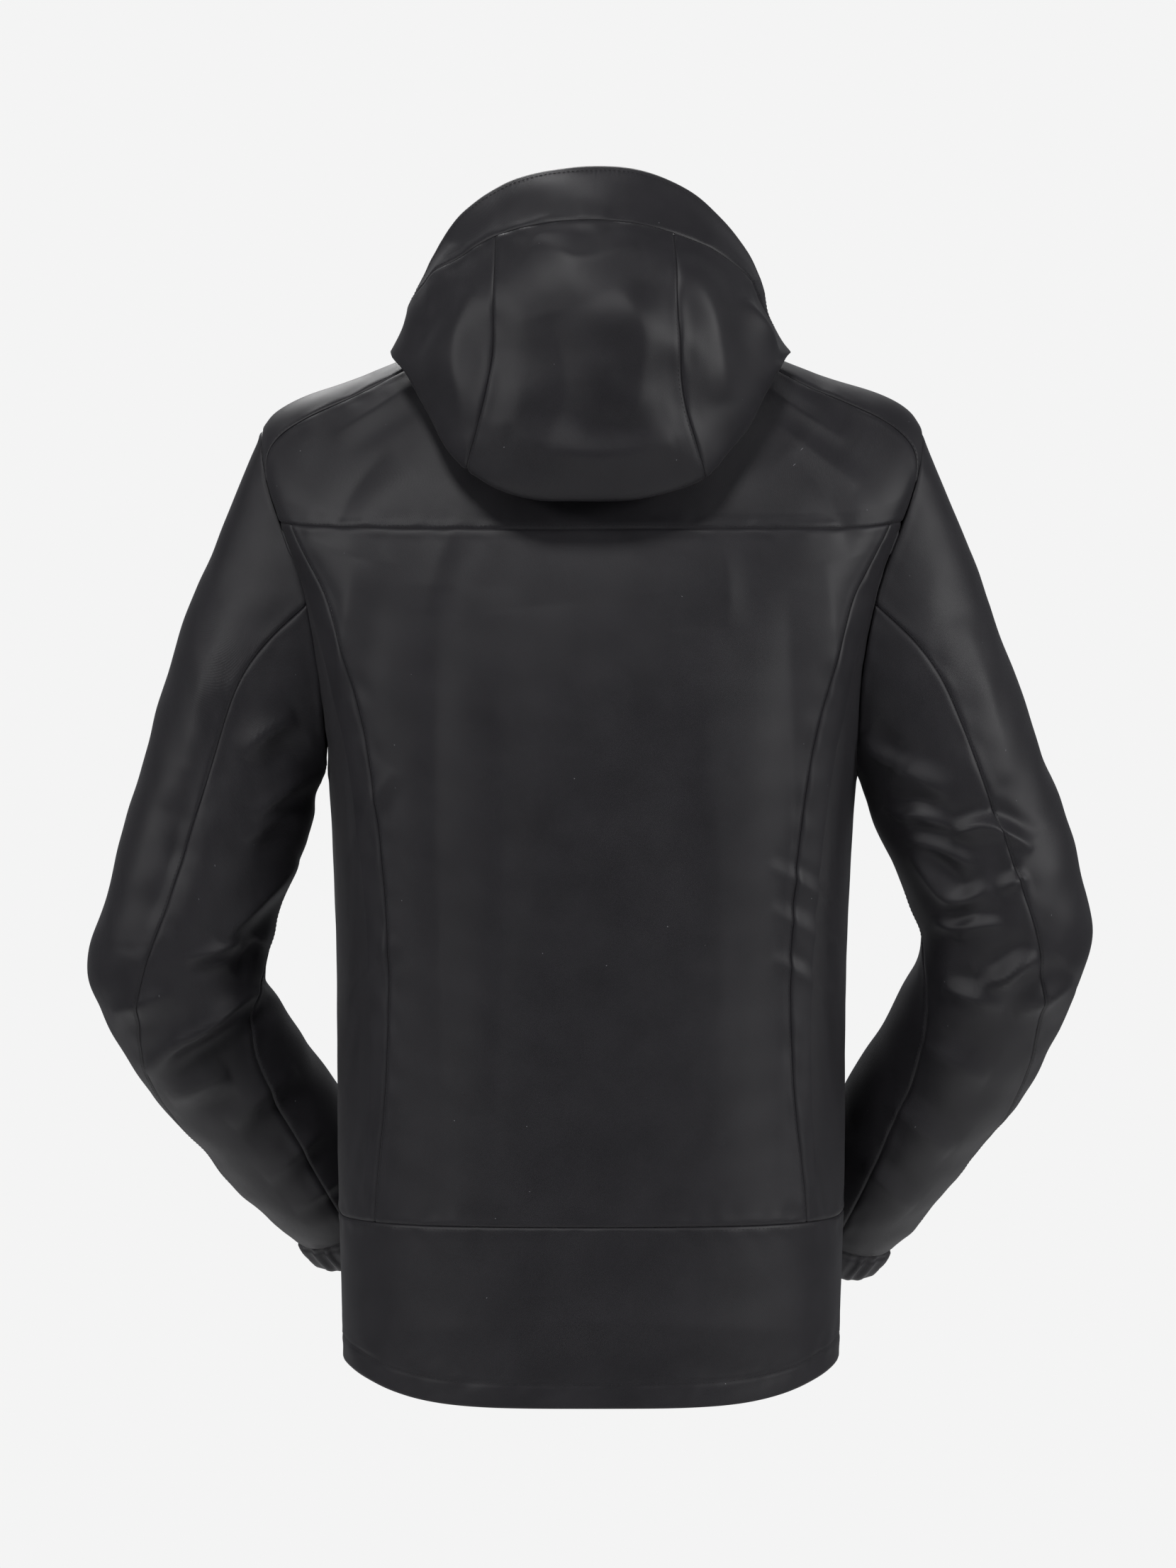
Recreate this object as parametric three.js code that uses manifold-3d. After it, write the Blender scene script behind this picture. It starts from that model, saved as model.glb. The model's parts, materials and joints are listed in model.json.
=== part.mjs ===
// A men's hardshell jacket, zipped up, with its hood folded down behind the neck and its arms hanging
// with bent elbows. Millimetres, +Z up. The front faces -Y and the wearer's left is +X.
// The origin is the middle of the neck opening, about level with the shoulders.
//
// Every cloth panel is cut from one of four smooth surfaces (torso, collar, hood, sleeve) along its
// real seams, and is a thin closed sheet of its own. Zips and trims are small solids.
import * as THREE from "three";
import { mergeVertices } from "three/addons/utils/BufferGeometryUtils.js";
import Module from "manifold-3d";

const wasm = await Module();
wasm.setup();

// ---------------------------------------------------------------- driving dimensions
const clothThickness = 1.6; // outer laminate with its seam allowances
const liningThickness = 1.0;
const seamGap = 0.375 * clothThickness; // between two panels that are sewn edge to edge
const layerGap = 0.4; // between two layers that lie on each other

const neckSide = 78; // the neck seam: half width, and how far it reaches back and forward
const neckBack = 62;
const frontAtNeck = 94;
const frontSlope = 0.045; // how fast the straight front edge comes forward on its way down
const shoulderHalf = 239;
const bodyHeight = 773; // from the side of the neck to the hem
const neckTop = 20;
const chestSide = 193;
const waistSide = 185;
const hemSide = 180;
const hemBack = 128;
const hemSideRise = 28; // how much higher the hem is at the sides

const collarTopBack = 90; // heights of the collar's top edge above the origin
const collarTopFront = 40;
const collarLean = 5; // how much narrower the collar's top is, each side

const yokeSeamZ = -129; // at the middle of the back
const tailSeamZ = -625; // seam of the lower back panel, at its middle
const tailSeamRise = 22; // how far that seam has climbed where it meets the front
const hemFacingHeight = 30;

const shoulderSeamTurn = 24; // degrees from the shoulder ridge, at the neck
const armholeTurn = 20; // half width of the armhole, in degrees round the body
const armholeTopLevel = 2;
const armholeBottomLevel = 4.08;
const frontSeamTurn = -34; // the front side seam, at the hem

const hoodHeight = 132; // top of the folded hood above the origin
const hoodDrop = 110; // bottom of the folded hood below the origin
const hoodHalf = 144;
const hoodReach = 160; // how far the folded hood stands out behind the origin
const hoodSeatGap = 0.6; // between the hood's base and the shoulders it lies on

const cuffHeight = 24;
const cuffHalf = 39;

const zipOpening = 9; // half width of the front opening that the zip fills
const stormFlapHalf = 20;
const pocketLength = 168;

const colour = { shell: 0x27272b, lining: 0x3a3b40, trim: 0x141416, metal: 0x3d3e42 };

// ---------------------------------------------------------------- small maths
const radians = THREE.MathUtils.degToRad;
const degrees = THREE.MathUtils.radToDeg;
const mix = (a, b, share) => a + (b - a) * share;
const signedPower = (value, power) => Math.sign(value) * Math.abs(value) ** power;
const vector = (x, y, z) => new THREE.Vector3(x, y, z);

// The share that each of four neighbouring values has in a smooth curve at t between the middle two.
const splineShares = (t) => [
  0.5 * t * (-1 + t * (2 - t)),
  1 + 0.5 * t * t * (-5 + 3 * t),
  0.5 * t * (1 + t * (4 - 3 * t)),
  0.5 * t * t * (t - 1),
];

// A smooth curve through values, read at a fractional place among them.
function spline(count, valueAt, place) {
  const at = Math.min(Math.max(place, 0), count - 1);
  const first = Math.min(Math.floor(at), count - 2);
  return splineShares(at - first).map((share, k) => {
    const index = Math.min(Math.max(first - 1 + k, 0), count - 1);
    return [share, valueAt(index)];
  });
}
const splineNumber = (values, place) =>
  spline(values.length, (i) => values[i], place).reduce((sum, [share, value]) => sum + share * value, 0);
const splineVector = (count, pointAt, place) =>
  spline(count, pointAt, place).reduce(
    (sum, [share, point]) => sum.addScaledVector(point, share),
    vector(0, 0, 0),
  );

// ---------------------------------------------------------------- torso surface
// Rings round the body from the neck seam to the hem. side, back and front are how far each ring
// reaches, the z values are its heights there, square is 2 for an ellipse and more for a box, and
// ridge is how sharply the ring climbs to the shoulder.
const hemZ = neckTop - bodyHeight;
const hemSideZ = hemZ + hemSideRise;
const upperSide = mix(neckSide, shoulderHalf, 0.51);
const armholeSide = mix(shoulderHalf, chestSide, 0.55);
const hipSide = mix(waistSide, hemSide, 0.5);
const frontAt = (z) => frontAtNeck + frontSlope * (-66 - z);
const torsoRings = [
  { side: neckSide, back: neckBack, zSide: neckTop, zBack: 6, zFront: -66, square: 2.0, ridge: 2 },
  { side: upperSide, back: 88, zSide: -12, zBack: -52, zFront: -108, square: 2.2, ridge: 4 },
  { side: shoulderHalf, back: 106, zSide: -54, zBack: -116, zFront: -160, square: 2.7, ridge: 8 },
  { side: armholeSide, back: 121, zSide: -172, zBack: -196, zFront: -210, square: 3.0, ridge: 4 },
  { side: chestSide, back: 129, zSide: -290, zBack: -290, zFront: -290, square: 2.8, ridge: 2 },
  { side: waistSide, back: 127, zSide: -440, zBack: -440, zFront: -440, square: 2.5, ridge: 2 },
  { side: hipSide, back: 126, zSide: -605, zBack: -605, zFront: -605, square: 2.4, ridge: 2 },
  { side: hemSide, back: hemBack, zSide: hemSideZ, zBack: hemZ, zFront: hemZ, square: 2.4, ridge: 4 },
];
const hemLevel = torsoRings.length - 1;
const torsoValues = {};
for (const name of ["side", "back", "zSide", "zBack", "zFront", "square", "ridge"]) {
  torsoValues[name] = torsoRings.map((ring) => ring[name]);
}
const ringValue = (name, level) => splineNumber(torsoValues[name], level);

// turn is in degrees: 0 at the wearer's left, 90 at the back, 180 at the right, -90 at the front.
// level counts rings, from 0 at the neck seam to hemLevel at the hem.
function torso(turn, level) {
  const c = Math.cos(radians(turn));
  const s = Math.sin(radians(turn));
  const power = 2 / ringValue("square", level);
  const z = ringValue(s >= 0 ? "zBack" : "zFront", level);
  const depth = s >= 0 ? ringValue("back", level) : frontAt(z);
  const ridge = Math.abs(c) ** ringValue("ridge", level);
  return vector(
    ringValue("side", level) * signedPower(c, power),
    depth * signedPower(s, power),
    mix(z, ringValue("zSide", level), ridge),
  );
}

// The level at which the torso passes through a height, at one turn.
function levelAt(turn, z) {
  let [low, high] = [0, hemLevel];
  for (let i = 0; i < 30; i += 1) {
    const middle = (low + high) / 2;
    if (torso(turn, middle).z > z) low = middle;
    else high = middle;
  }
  return (low + high) / 2;
}

// The turn at which the front of a ring is a given distance to the left of the middle.
const frontTurn = (x, level) =>
  -90 + degrees(Math.asin((x / ringValue("side", level)) ** (ringValue("square", level) / 2)));

// The armhole is a closed curve on the torso. round is 0 at its top, 90 at the back, 180 below.
const armhole = (round) => [
  armholeTurn * Math.sin(radians(round)),
  mix(armholeTopLevel, armholeBottomLevel, (1 - Math.cos(radians(round))) / 2),
];

// The armhole's own plane: its middle, and the way out of the body through it.
const armholeTop = torso(...armhole(0));
const armholeBottom = torso(...armhole(180));
const armholeMiddle = armholeTop.clone().lerp(armholeBottom, 0.5);
const armholeWayOut = vector(armholeTop.z - armholeBottom.z, 0, armholeBottom.x - armholeTop.x).normalize();
const armholeNormal = (round) => {
  const spoke = torso(...armhole(round)).sub(armholeMiddle);
  return spoke.addScaledVector(armholeWayOut, -spoke.dot(armholeWayOut)).normalize();
};

// ---------------------------------------------------------------- sheets of cloth
// A seam is a list of places on a surface, one for each corner that the sheets beside it share.
const along = (curve, from, to, cells) =>
  Array.from({ length: cells + 1 }, (_, i) => curve(mix(from, to, i / cells)));
const chain = (...parts) => parts.flatMap((part, i) => (i ? part.slice(1) : part));

function normalAt(surface, [turn, level]) {
  const step = 0.01;
  const across = surface(turn + step, level).sub(surface(turn - step, level));
  const down = surface(turn, level + step).sub(surface(turn, level - step));
  return down.cross(across).normalize();
}

// A panel's corners, filled in between its four edges. left is the edge at the smaller turn.
function panelGrid({ top, bottom, left, right }) {
  const [columns, rows] = [top.length - 1, left.length - 1];
  return left.map((_, j) =>
    top.map((_, i) => {
      const [u, v] = [i / columns, j / rows];
      const place = [0, 1].map(
        (k) =>
          mix(top[i][k], bottom[i][k], v) +
          mix(left[j][k], right[j][k], u) -
          mix(mix(top[0][k], top[columns][k], u), mix(bottom[0][k], bottom[columns][k], u), v),
      );
      const ends = j === 0 ? top[i] : j === rows ? bottom[i] : null;
      const sides = i === 0 ? left[j] : i === columns ? right[j] : null;
      return [...place, (ends ?? sides ?? [])[2]];
    }),
  );
}

// How far an edge corner moves square to its seam, towards the inside of its panel.
function inward(here, inner, before, after, distance) {
  const tangent = after.clone().sub(before).normalize();
  const way = inner.clone().sub(here);
  return way.addScaledVector(tangent, -way.dot(tangent)).setLength(distance);
}

// A closed sheet: a box whose width runs across the surface, whose height runs down it, and whose
// depth is the cloth. outset is how far the outer face stands off the surface.
function sheet(surface, edges, { outset = 0, thickness = clothThickness, gap = seamGap } = {}) {
  const grid = panelGrid(edges);
  const [columns, rows] = [grid[0].length - 1, grid.length - 1];
  const points = grid.map((row) => row.map(([turn, level]) => surface(turn, level)));
  const pointAt = (i, j) => points[Math.min(Math.max(j, 0), rows)][Math.min(Math.max(i, 0), columns)];
  const corner = (i, j) => {
    const here = pointAt(i, j);
    const point = here.clone();
    const step = i === 0 ? 1 : i === columns ? -1 : 0;
    const drop = j === 0 ? 1 : j === rows ? -1 : 0;
    if (step) point.add(inward(here, pointAt(i + step, j), pointAt(i, j - 1), pointAt(i, j + 1), gap / 2));
    if (drop) point.add(inward(here, pointAt(i, j + drop), pointAt(i - 1, j), pointAt(i + 1, j), gap / 2));
    return { point, normal: grid[j][i][2] ?? normalAt(surface, grid[j][i]) };
  };
  const corners = grid.map((row, j) => row.map((_, i) => corner(i, j)));
  const geometry = new THREE.BoxGeometry(1, 1, 1, columns, rows, 1);
  const position = geometry.getAttribute("position");
  for (let k = 0; k < position.count; k += 1) {
    const i = Math.round((position.getX(k) + 0.5) * columns);
    const j = Math.round((0.5 - position.getY(k)) * rows);
    const { point, normal } = corners[j][i];
    const at = point.clone().addScaledVector(normal, outset - (0.5 - position.getZ(k)) * thickness);
    position.setXYZ(k, at.x, at.y, at.z);
  }
  return geometry;
}

// A closed ring of cloth round a tube-like surface, between two of its levels.
function ringSheet(surface, from, to, around, { outset = 0, thickness = clothThickness } = {}) {
  const section = [[from, 0], [from, 1], [to, 1], [to, 0]];
  const geometry = new THREE.TorusGeometry(2, 1, section.length, around);
  const position = geometry.getAttribute("position");
  const uv = geometry.getAttribute("uv");
  for (let k = 0; k < position.count; k += 1) {
    const turn = (360 * Math.round(uv.getX(k) * around)) / around;
    const [level, depth] = section[Math.round(uv.getY(k) * section.length) % section.length];
    const out = normalAt(surface, [turn, level]);
    const at = surface(turn, level).addScaledVector(out, outset - depth * thickness);
    position.setXYZ(k, at.x, at.y, at.z);
  }
  return geometry;
}

// The same geometry on the other side of the body.
function mirrorGeometry(geometry) {
  const flipped = geometry.clone().scale(-1, 1, 1);
  const index = flipped.index.array;
  for (let k = 0; k < index.length; k += 3) {
    [index[k], index[k + 1]] = [index[k + 1], index[k]];
  }
  return flipped;
}

// ---------------------------------------------------------------- joining and cutting
function toSolid(geometry) {
  const bare = geometry.clone();
  bare.deleteAttribute("normal");
  bare.deleteAttribute("uv");
  const merged = mergeVertices(bare, 1e-4);
  return new wasm.Manifold(
    new wasm.Mesh({
      numProp: 3,
      vertProperties: new Float32Array(merged.getAttribute("position").array),
      triVerts: new Uint32Array(merged.index.array),
    }),
  );
}
function toGeometry(solid) {
  const mesh = solid.getMesh();
  return new THREE.BufferGeometry()
    .setAttribute("position", new THREE.BufferAttribute(mesh.vertProperties, 3))
    .setIndex(new THREE.BufferAttribute(mesh.triVerts, 1));
}
const join = (...pieces) => toGeometry(pieces.map(toSolid).reduce((a, b) => a.add(b)));
const cut = (piece, ...holes) =>
  toGeometry(holes.map(toSolid).reduce((a, b) => a.subtract(b), toSolid(piece)));

// A box between two corners.
function block([x0, y0, z0], [x1, y1, z1]) {
  const box = new THREE.BoxGeometry(x1 - x0, y1 - y0, z1 - z0);
  return box.translate((x0 + x1) / 2, (y0 + y1) / 2, (z0 + z1) / 2);
}
// A round bar along X.
const crossBar = (radius, length, sides) =>
  new THREE.CylinderGeometry(radius, radius, length, sides).rotateZ(Math.PI / 2);

// ---------------------------------------------------------------- the object
const finishes = {
  shell: { color: colour.shell, roughness: 0.62, metalness: 0 },
  lining: { color: colour.lining, roughness: 0.8, metalness: 0 },
  trim: { color: colour.trim, roughness: 0.5, metalness: 0 },
  metal: { color: colour.metal, roughness: 0.35, metalness: 0.9 },
};
const jacket = new THREE.Group();

function add(name, geometry, finish, parent = jacket) {
  const mesh = new THREE.Mesh(geometry, new THREE.MeshStandardMaterial(finishes[finish]));
  mesh.name = name;
  parent.add(mesh);
}
// Adds a piece of the wearer's left side, and its mirror image on the right.
function addPair(name, geometry, finish) {
  add(`${name}_left`, geometry, finish);
  add(`${name}_right`, mirrorGeometry(geometry), finish);
}
const mirrorPlaces = (list) =>
  list.map(([turn, level, normal]) => [180 - turn, level, normal && normal.clone().setX(-normal.x)]);

// ---------------------------------------------------------------- torso seams
const roundStep = 15; // the armhole's corners, in degrees
const armCorner = { shoulderBack: 45, yoke: 60, underarm: 195, frontSide: 240, shoulderFront: 315 };
const armholePlaces = (from, to) =>
  along((round) => [...armhole(round), armholeNormal(round)], from, to, Math.abs(to - from) / roundStep);

const yokeCells = 12;
const [yokeEndTurn, yokeEndLevel] = armhole(armCorner.yoke);
const yokeEndZ = torso(yokeEndTurn, yokeEndLevel).z;
const yokeStep = (180 - 2 * yokeEndTurn) / yokeCells;
const backSeamStart = yokeEndTurn + yokeStep;
const yokeSeam = (turn) => {
  const share = Math.abs(Math.cos(radians(turn)) / Math.cos(radians(yokeEndTurn))) ** 4;
  return [turn, levelAt(turn, mix(yokeSeamZ, yokeEndZ, share))];
};

// The back side seam starts on the yoke, just inside the armhole, and swings in and out again.
const backSeamTurns = [backSeamStart, 36, 39, 41.5, 42.5, 40, 34];
const tailSeam = (turn) => {
  const away = Math.abs(turn - 90) / (90 - frontSeamTurn);
  return [turn, levelAt(turn, tailSeamZ + tailSeamRise * away ** 4)];
};
const backSeamEnd = tailSeam(backSeamTurns.at(-1));
const backSeam = (share) => [
  splineNumber(backSeamTurns, share * (backSeamTurns.length - 1)),
  mix(yokeSeam(backSeamStart)[1], backSeamEnd[1], share),
];

// The front side seam falls from the armhole to the hem. The lower back panel comes round to it.
const [frontSeamStartTurn, frontSeamStartLevel] = armhole(armCorner.frontSide);
const tailEndLevel = tailSeam(frontSeamTurn)[1];
const frontSeam = (level) => {
  const share = (level - frontSeamStartLevel) / (tailEndLevel - frontSeamStartLevel);
  return [mix(frontSeamStartTurn, frontSeamTurn, Math.min(share, 1)), level];
};
const shoulderSeam = (face) => (share) => {
  const [turn, level] = armhole(face * armCorner.shoulderBack);
  return [mix(face * shoulderSeamTurn, turn, share), mix(0, level, share)];
};
const atNeck = (turn) => [turn, 0];
const atHem = (turn) => [turn, hemLevel];

const places = {
  neckBack: along(atNeck, shoulderSeamTurn, 180 - shoulderSeamTurn, yokeCells),
  neckSide: along(atNeck, -shoulderSeamTurn, shoulderSeamTurn, 6),
  neckFront: along(atNeck, frontTurn(zipOpening, 0), -shoulderSeamTurn, 4),
  shoulderBack: along(shoulderSeam(1), 0, 1, 4),
  shoulderFront: along(shoulderSeam(-1), 0, 1, 4),
  backSeam: along(backSeam, 0, 1, 9),
  frontSeam: along(frontSeam, frontSeamStartLevel, tailEndLevel, 9),
  tailSide: along(frontSeam, tailEndLevel, hemLevel, 3),
  frontEdge: (cells) => along((level) => [frontTurn(zipOpening, level), level], 0, hemLevel, cells),
};
// An armhole seam's last corner lies on a plain seam too, so its neighbours share its normal.
places.shoulderBack.at(-1)[2] = armholeNormal(armCorner.shoulderBack);
places.shoulderFront.at(-1)[2] = armholeNormal(-armCorner.shoulderBack);
// Down the front seam that normal turns into the torso's own, a step at each corner.
for (const [k, share] of [0, 0.35, 0.7].entries()) {
  const place = places.frontSeam[k];
  place[2] = armholeNormal(armCorner.frontSide).lerp(normalAt(torso, place), share).normalize();
}

// ---------------------------------------------------------------- torso panels
const yokeLeft = chain(places.shoulderBack, armholePlaces(armCorner.shoulderBack, armCorner.yoke));
const yokeBottom = along(yokeSeam, yokeEndTurn, 180 - yokeEndTurn, yokeCells);
add(
  "back_yoke",
  sheet(torso, { top: places.neckBack, bottom: yokeBottom, left: yokeLeft, right: mirrorPlaces(yokeLeft) }),
  "shell",
);

const backCells = yokeCells - 2;
const tailMiddle = along(tailSeam, backSeamTurns.at(-1), 180 - backSeamTurns.at(-1), backCells);
add(
  "back_panel",
  sheet(torso, {
    top: yokeBottom.slice(1, -1),
    bottom: tailMiddle,
    left: places.backSeam,
    right: mirrorPlaces(places.backSeam),
  }),
  "shell",
);

const sideTop = chain(
  armholePlaces(armCorner.frontSide, armCorner.yoke),
  along(yokeSeam, yokeEndTurn, backSeamStart, 1),
);
const sideCells = sideTop.length - 1;
const tailSideCells = 5;
const tailFlank = along(tailSeam, frontSeamTurn, backSeamTurns.at(-1), tailSideCells);
addPair(
  "side_panel",
  sheet(torso, {
    top: sideTop,
    bottom: along(tailSeam, frontSeamTurn, backSeamTurns.at(-1), sideCells),
    left: places.frontSeam,
    right: places.backSeam,
  }),
  "shell",
);

const tailTop = chain(tailFlank, tailMiddle, mirrorPlaces(tailFlank).reverse());
add(
  "lower_back_panel",
  sheet(torso, {
    top: tailTop,
    bottom: tailTop.map(([turn]) => atHem(turn)),
    left: places.tailSide,
    right: mirrorPlaces(places.tailSide),
  }),
  "shell",
);

const shoulderOuter = armholePlaces(-armCorner.shoulderBack, armCorner.shoulderBack);
addPair(
  "shoulder_panel",
  sheet(torso, {
    top: places.neckSide,
    bottom: shoulderOuter,
    left: places.shoulderFront,
    right: places.shoulderBack,
  }),
  "shell",
);

const frontSide = chain(
  armholePlaces(armCorner.shoulderFront, armCorner.frontSide),
  places.frontSeam,
  places.tailSide,
);
const frontTop = chain(places.neckFront, places.shoulderFront);
const frontHem = along(atHem, frontTurn(zipOpening, hemLevel), frontSeamTurn, frontTop.length - 1);
addPair(
  "front_panel",
  sheet(torso, {
    top: frontTop,
    bottom: frontHem,
    left: places.frontEdge(frontSide.length - 1),
    right: frontSide,
  }),
  "shell",
);

// ---------------------------------------------------------------- sleeve surface
// Below the armhole, each ring of a sleeve has a middle, a way down the arm, a half width from the
// inner to the outer side, and a half width from front to back.
const armRings = {
  left: [
    { middle: [243, 2, -246], down: [0.86, 0, -0.51], half: 86, deep: 61 },
    { middle: [267, -2, -326], down: [0.3, -0.02, -0.95], half: 66, deep: 62 },
    { middle: [289, -5, -396], down: [0.27, -0.05, -0.96], half: 63, deep: 62 },
    { middle: [302, -11, -450], down: [-0.04, -0.2, -0.97], half: 63, deep: 61 },
    { middle: [276, -38, -503], down: [-0.5, -0.4, -0.77], half: 57, deep: 57 },
    { middle: [229, -78, -563], down: [-0.52, -0.44, -0.73], half: 53, deep: 54 },
    { middle: [198, -106, -608], down: [-0.5, -0.46, -0.73], half: 46, deep: 48 },
    { middle: [184, -119, -629], down: [-0.45, -0.5, -0.74], half: cuffHalf, deep: cuffHalf },
  ],
  right: [
    { middle: [243, 2, -246], down: [0.86, 0, -0.51], half: 86, deep: 61 },
    { middle: [272, -2, -326], down: [0.3, -0.02, -0.95], half: 67, deep: 62 },
    { middle: [294, -5, -384], down: [0.24, -0.05, -0.97], half: 63, deep: 62 },
    { middle: [302, -11, -430], down: [-0.06, -0.2, -0.97], half: 61, deep: 61 },
    { middle: [276, -38, -492], down: [-0.48, -0.4, -0.78], half: 58, deep: 57 },
    { middle: [232, -78, -562], down: [-0.48, -0.44, -0.76], half: 54, deep: 54 },
    { middle: [202, -106, -613], down: [-0.46, -0.46, -0.76], half: 47, deep: 48 },
    { middle: [188, -119, -636], down: [-0.42, -0.5, -0.76], half: cuffHalf, deep: cuffHalf },
  ],
};
const cuffLevel = armRings.left.length; // where the cuff band starts; it ends one level on
const cuffSeamShare = seamGap / 2 / cuffHeight;

// round is in degrees: 0 on the outer side, 90 at the back, 180 inside, 270 at the front.
// level counts rings, from 0 at the armhole to cuffLevel at the cuff.
function sleeveSurface(rings) {
  const ringPoint = (index, round) => {
    if (index === 0) return torso(...armhole(round)).addScaledVector(armholeWayOut, seamGap);
    const ring = rings[Math.min(index, cuffLevel) - 1];
    const down = vector(...ring.down).normalize();
    const outer = vector(1, 0, 0).addScaledVector(down, -down.x).normalize();
    const rear = outer.clone().cross(down);
    return vector(...ring.middle)
      .addScaledVector(outer, ring.half * Math.cos(radians(round)))
      .addScaledVector(rear, ring.deep * Math.sin(radians(round)))
      .addScaledVector(down, index > cuffLevel ? cuffHeight : 0);
  };
  const straightCuff = (round, level) =>
    ringPoint(cuffLevel, round).lerp(ringPoint(cuffLevel + 1, round), Math.min(level - cuffLevel, 1));
  return (round, level) =>
    level > cuffLevel
      ? straightCuff(round, level)
      : splineVector(cuffLevel + 1, (index) => ringPoint(index, round), level);
}

// The back seam runs down the back of the upper arm and turns to the outer side of the forearm, and
// the underarm seam turns with it.
const backSeamRounds = [90, 80, 77, 76, 68, 40, 24, 19, 18];
const underarmRounds = [armCorner.underarm, 190, 186, 182, 168, 132, 114, 108, 107];
const seamDownSleeve = (rounds) => (level) => [splineNumber(rounds, level), level];
const sleeveRows = 16;

for (const [side, rings] of Object.entries(armRings)) {
  const surface = sleeveSurface(rings);
  const backSeamPlaces = along(seamDownSleeve(backSeamRounds), 0, cuffLevel, sleeveRows);
  const underarmPlaces = along(seamDownSleeve(underarmRounds), 0, cuffLevel, sleeveRows);
  const frontPlaces = underarmPlaces.map(([round, level, normal]) => [round - 360, level, normal]);
  const atCuff = (round) => [round, cuffLevel];
  for (const seam of [backSeamPlaces, underarmPlaces, frontPlaces]) seam[0][2] = armholeNormal(seam[0][0]);

  const topEdge = armholePlaces(armCorner.underarm - 360, backSeamRounds[0]);
  const underEdge = armholePlaces(backSeamRounds[0], armCorner.underarm);
  const toSleeve = ([, , normal], i, list) => {
    const from = list === topEdge ? armCorner.underarm - 360 : backSeamRounds[0];
    return [from + i * roundStep, 0, normal];
  };
  const pieces = {
    top_sleeve: sheet(surface, {
      top: topEdge.map(toSleeve),
      bottom: along(atCuff, underarmRounds.at(-1) - 360, backSeamRounds.at(-1), topEdge.length - 1),
      left: frontPlaces,
      right: backSeamPlaces,
    }),
    under_sleeve: sheet(surface, {
      top: underEdge.map(toSleeve),
      bottom: along(atCuff, backSeamRounds.at(-1), underarmRounds.at(-1), underEdge.length - 1),
      left: backSeamPlaces,
      right: underarmPlaces,
    }),
    cuff_band: ringSheet(surface, cuffLevel + cuffSeamShare, cuffLevel + 1, 24),
    cuff_elastic: ringSheet(surface, cuffLevel + 0.25, cuffLevel + 0.9, 24, {
      outset: -clothThickness - layerGap,
      thickness: liningThickness,
    }),
  };
  for (const [name, geometry] of Object.entries(pieces)) {
    const finish = name === "cuff_elastic" ? "trim" : "shell";
    add(`${name}_${side}`, side === "left" ? geometry : mirrorGeometry(geometry), finish);
  }
}

// ---------------------------------------------------------------- collar
// level is 0 at its top edge and 1 at the neck seam.
function collar(turn, level) {
  const base = torso(turn, 0);
  const s = Math.sin(radians(turn));
  const up = 1 - level;
  const height = mix(collarTopFront, collarTopBack, ((1 + s) / 2) ** 0.6) - base.z;
  const lean = 1 - (collarLean * up) / neckSide;
  const front = s < 0 ? frontAt(base.z + height * up) / frontAt(base.z) : lean;
  return vector(base.x * lean, base.y * front, base.z + height * up);
}
const collarRight = (list) => mirrorPlaces(list).reverse();
const neckPlaces = chain(
  places.neckFront,
  places.neckSide,
  places.neckBack,
  collarRight(places.neckSide),
  collarRight(places.neckFront),
);
const collarEdges = (from, to) => {
  const edge = neckPlaces.map(([turn]) => turn);
  return {
    top: edge.map((turn) => [turn, from]),
    bottom: edge.map((turn) => [turn, to]),
    left: along((level) => [edge[0], level], from, to, 2),
    right: along((level) => [edge.at(-1), level], from, to, 2),
  };
};
const liningOutset = -clothThickness - layerGap;
const flapOutset = liningOutset - liningThickness - layerGap;
add("collar_outer", sheet(collar, collarEdges(0, 1)), "shell");
add(
  "collar_lining",
  sheet(collar, collarEdges(0.03, 0.97), { outset: liningOutset, thickness: liningThickness }),
  "lining",
);
const chinGuardLevels = [0.02, 0.62];
const plainEdges = (fromTurn, toTurn, [from, to], across, down) => ({
  top: along((turn) => [turn, from], fromTurn, toTurn, across),
  bottom: along((turn) => [turn, to], fromTurn, toTurn, across),
  left: along((level) => [fromTurn, level], from, to, down),
  right: along((level) => [toTurn, level], from, to, down),
});
const chinTurns = places.neckFront.slice(0, 3).map(([turn]) => turn);
const chinRow = (level) => [-180 - chinTurns[0], ...chinTurns].map((turn) => [turn, level]);
add(
  "chin_guard",
  sheet(
    collar,
    {
      top: chinRow(chinGuardLevels[0]),
      bottom: chinRow(chinGuardLevels[1]),
      left: along((level) => [-180 - chinTurns[0], level], ...chinGuardLevels, 1),
      right: along((level) => [chinTurns.at(-1), level], ...chinGuardLevels, 1),
    },
    { outset: flapOutset, thickness: liningThickness },
  ),
  "lining",
);

// ---------------------------------------------------------------- inside the body
const flapEdge = (side) => (level) => [-90 + side * (90 + frontTurn(stormFlapHalf, level)), level];
const flapCells = 18;
const flapLevels = [0.12, hemLevel - 0.02];
const flapRow = (level) => along((side) => flapEdge(side)(level), -1, 1, 2);
add(
  "storm_flap",
  sheet(
    torso,
    {
      top: flapRow(flapLevels[0]),
      bottom: flapRow(flapLevels[1]),
      left: along(flapEdge(-1), ...flapLevels, flapCells),
      right: along(flapEdge(1), ...flapLevels, flapCells),
    },
    { outset: liningOutset - layerGap, thickness: liningThickness },
  ),
  "lining",
);
const facingTop = levelAt(90, hemZ + hemFacingHeight);
const facingStart = frontTurn(stormFlapHalf + 4, hemLevel);
const facingFlank = [[facingStart], ...frontHem.slice(2)];
const facingTurns = chain(facingFlank, tailTop, mirrorPlaces(facingFlank).reverse()).map(([turn]) => turn);
const facingRow = (level) => facingTurns.map((turn) => [turn, level]);
const facingLevels = [facingTop, hemLevel - 0.01];
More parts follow.
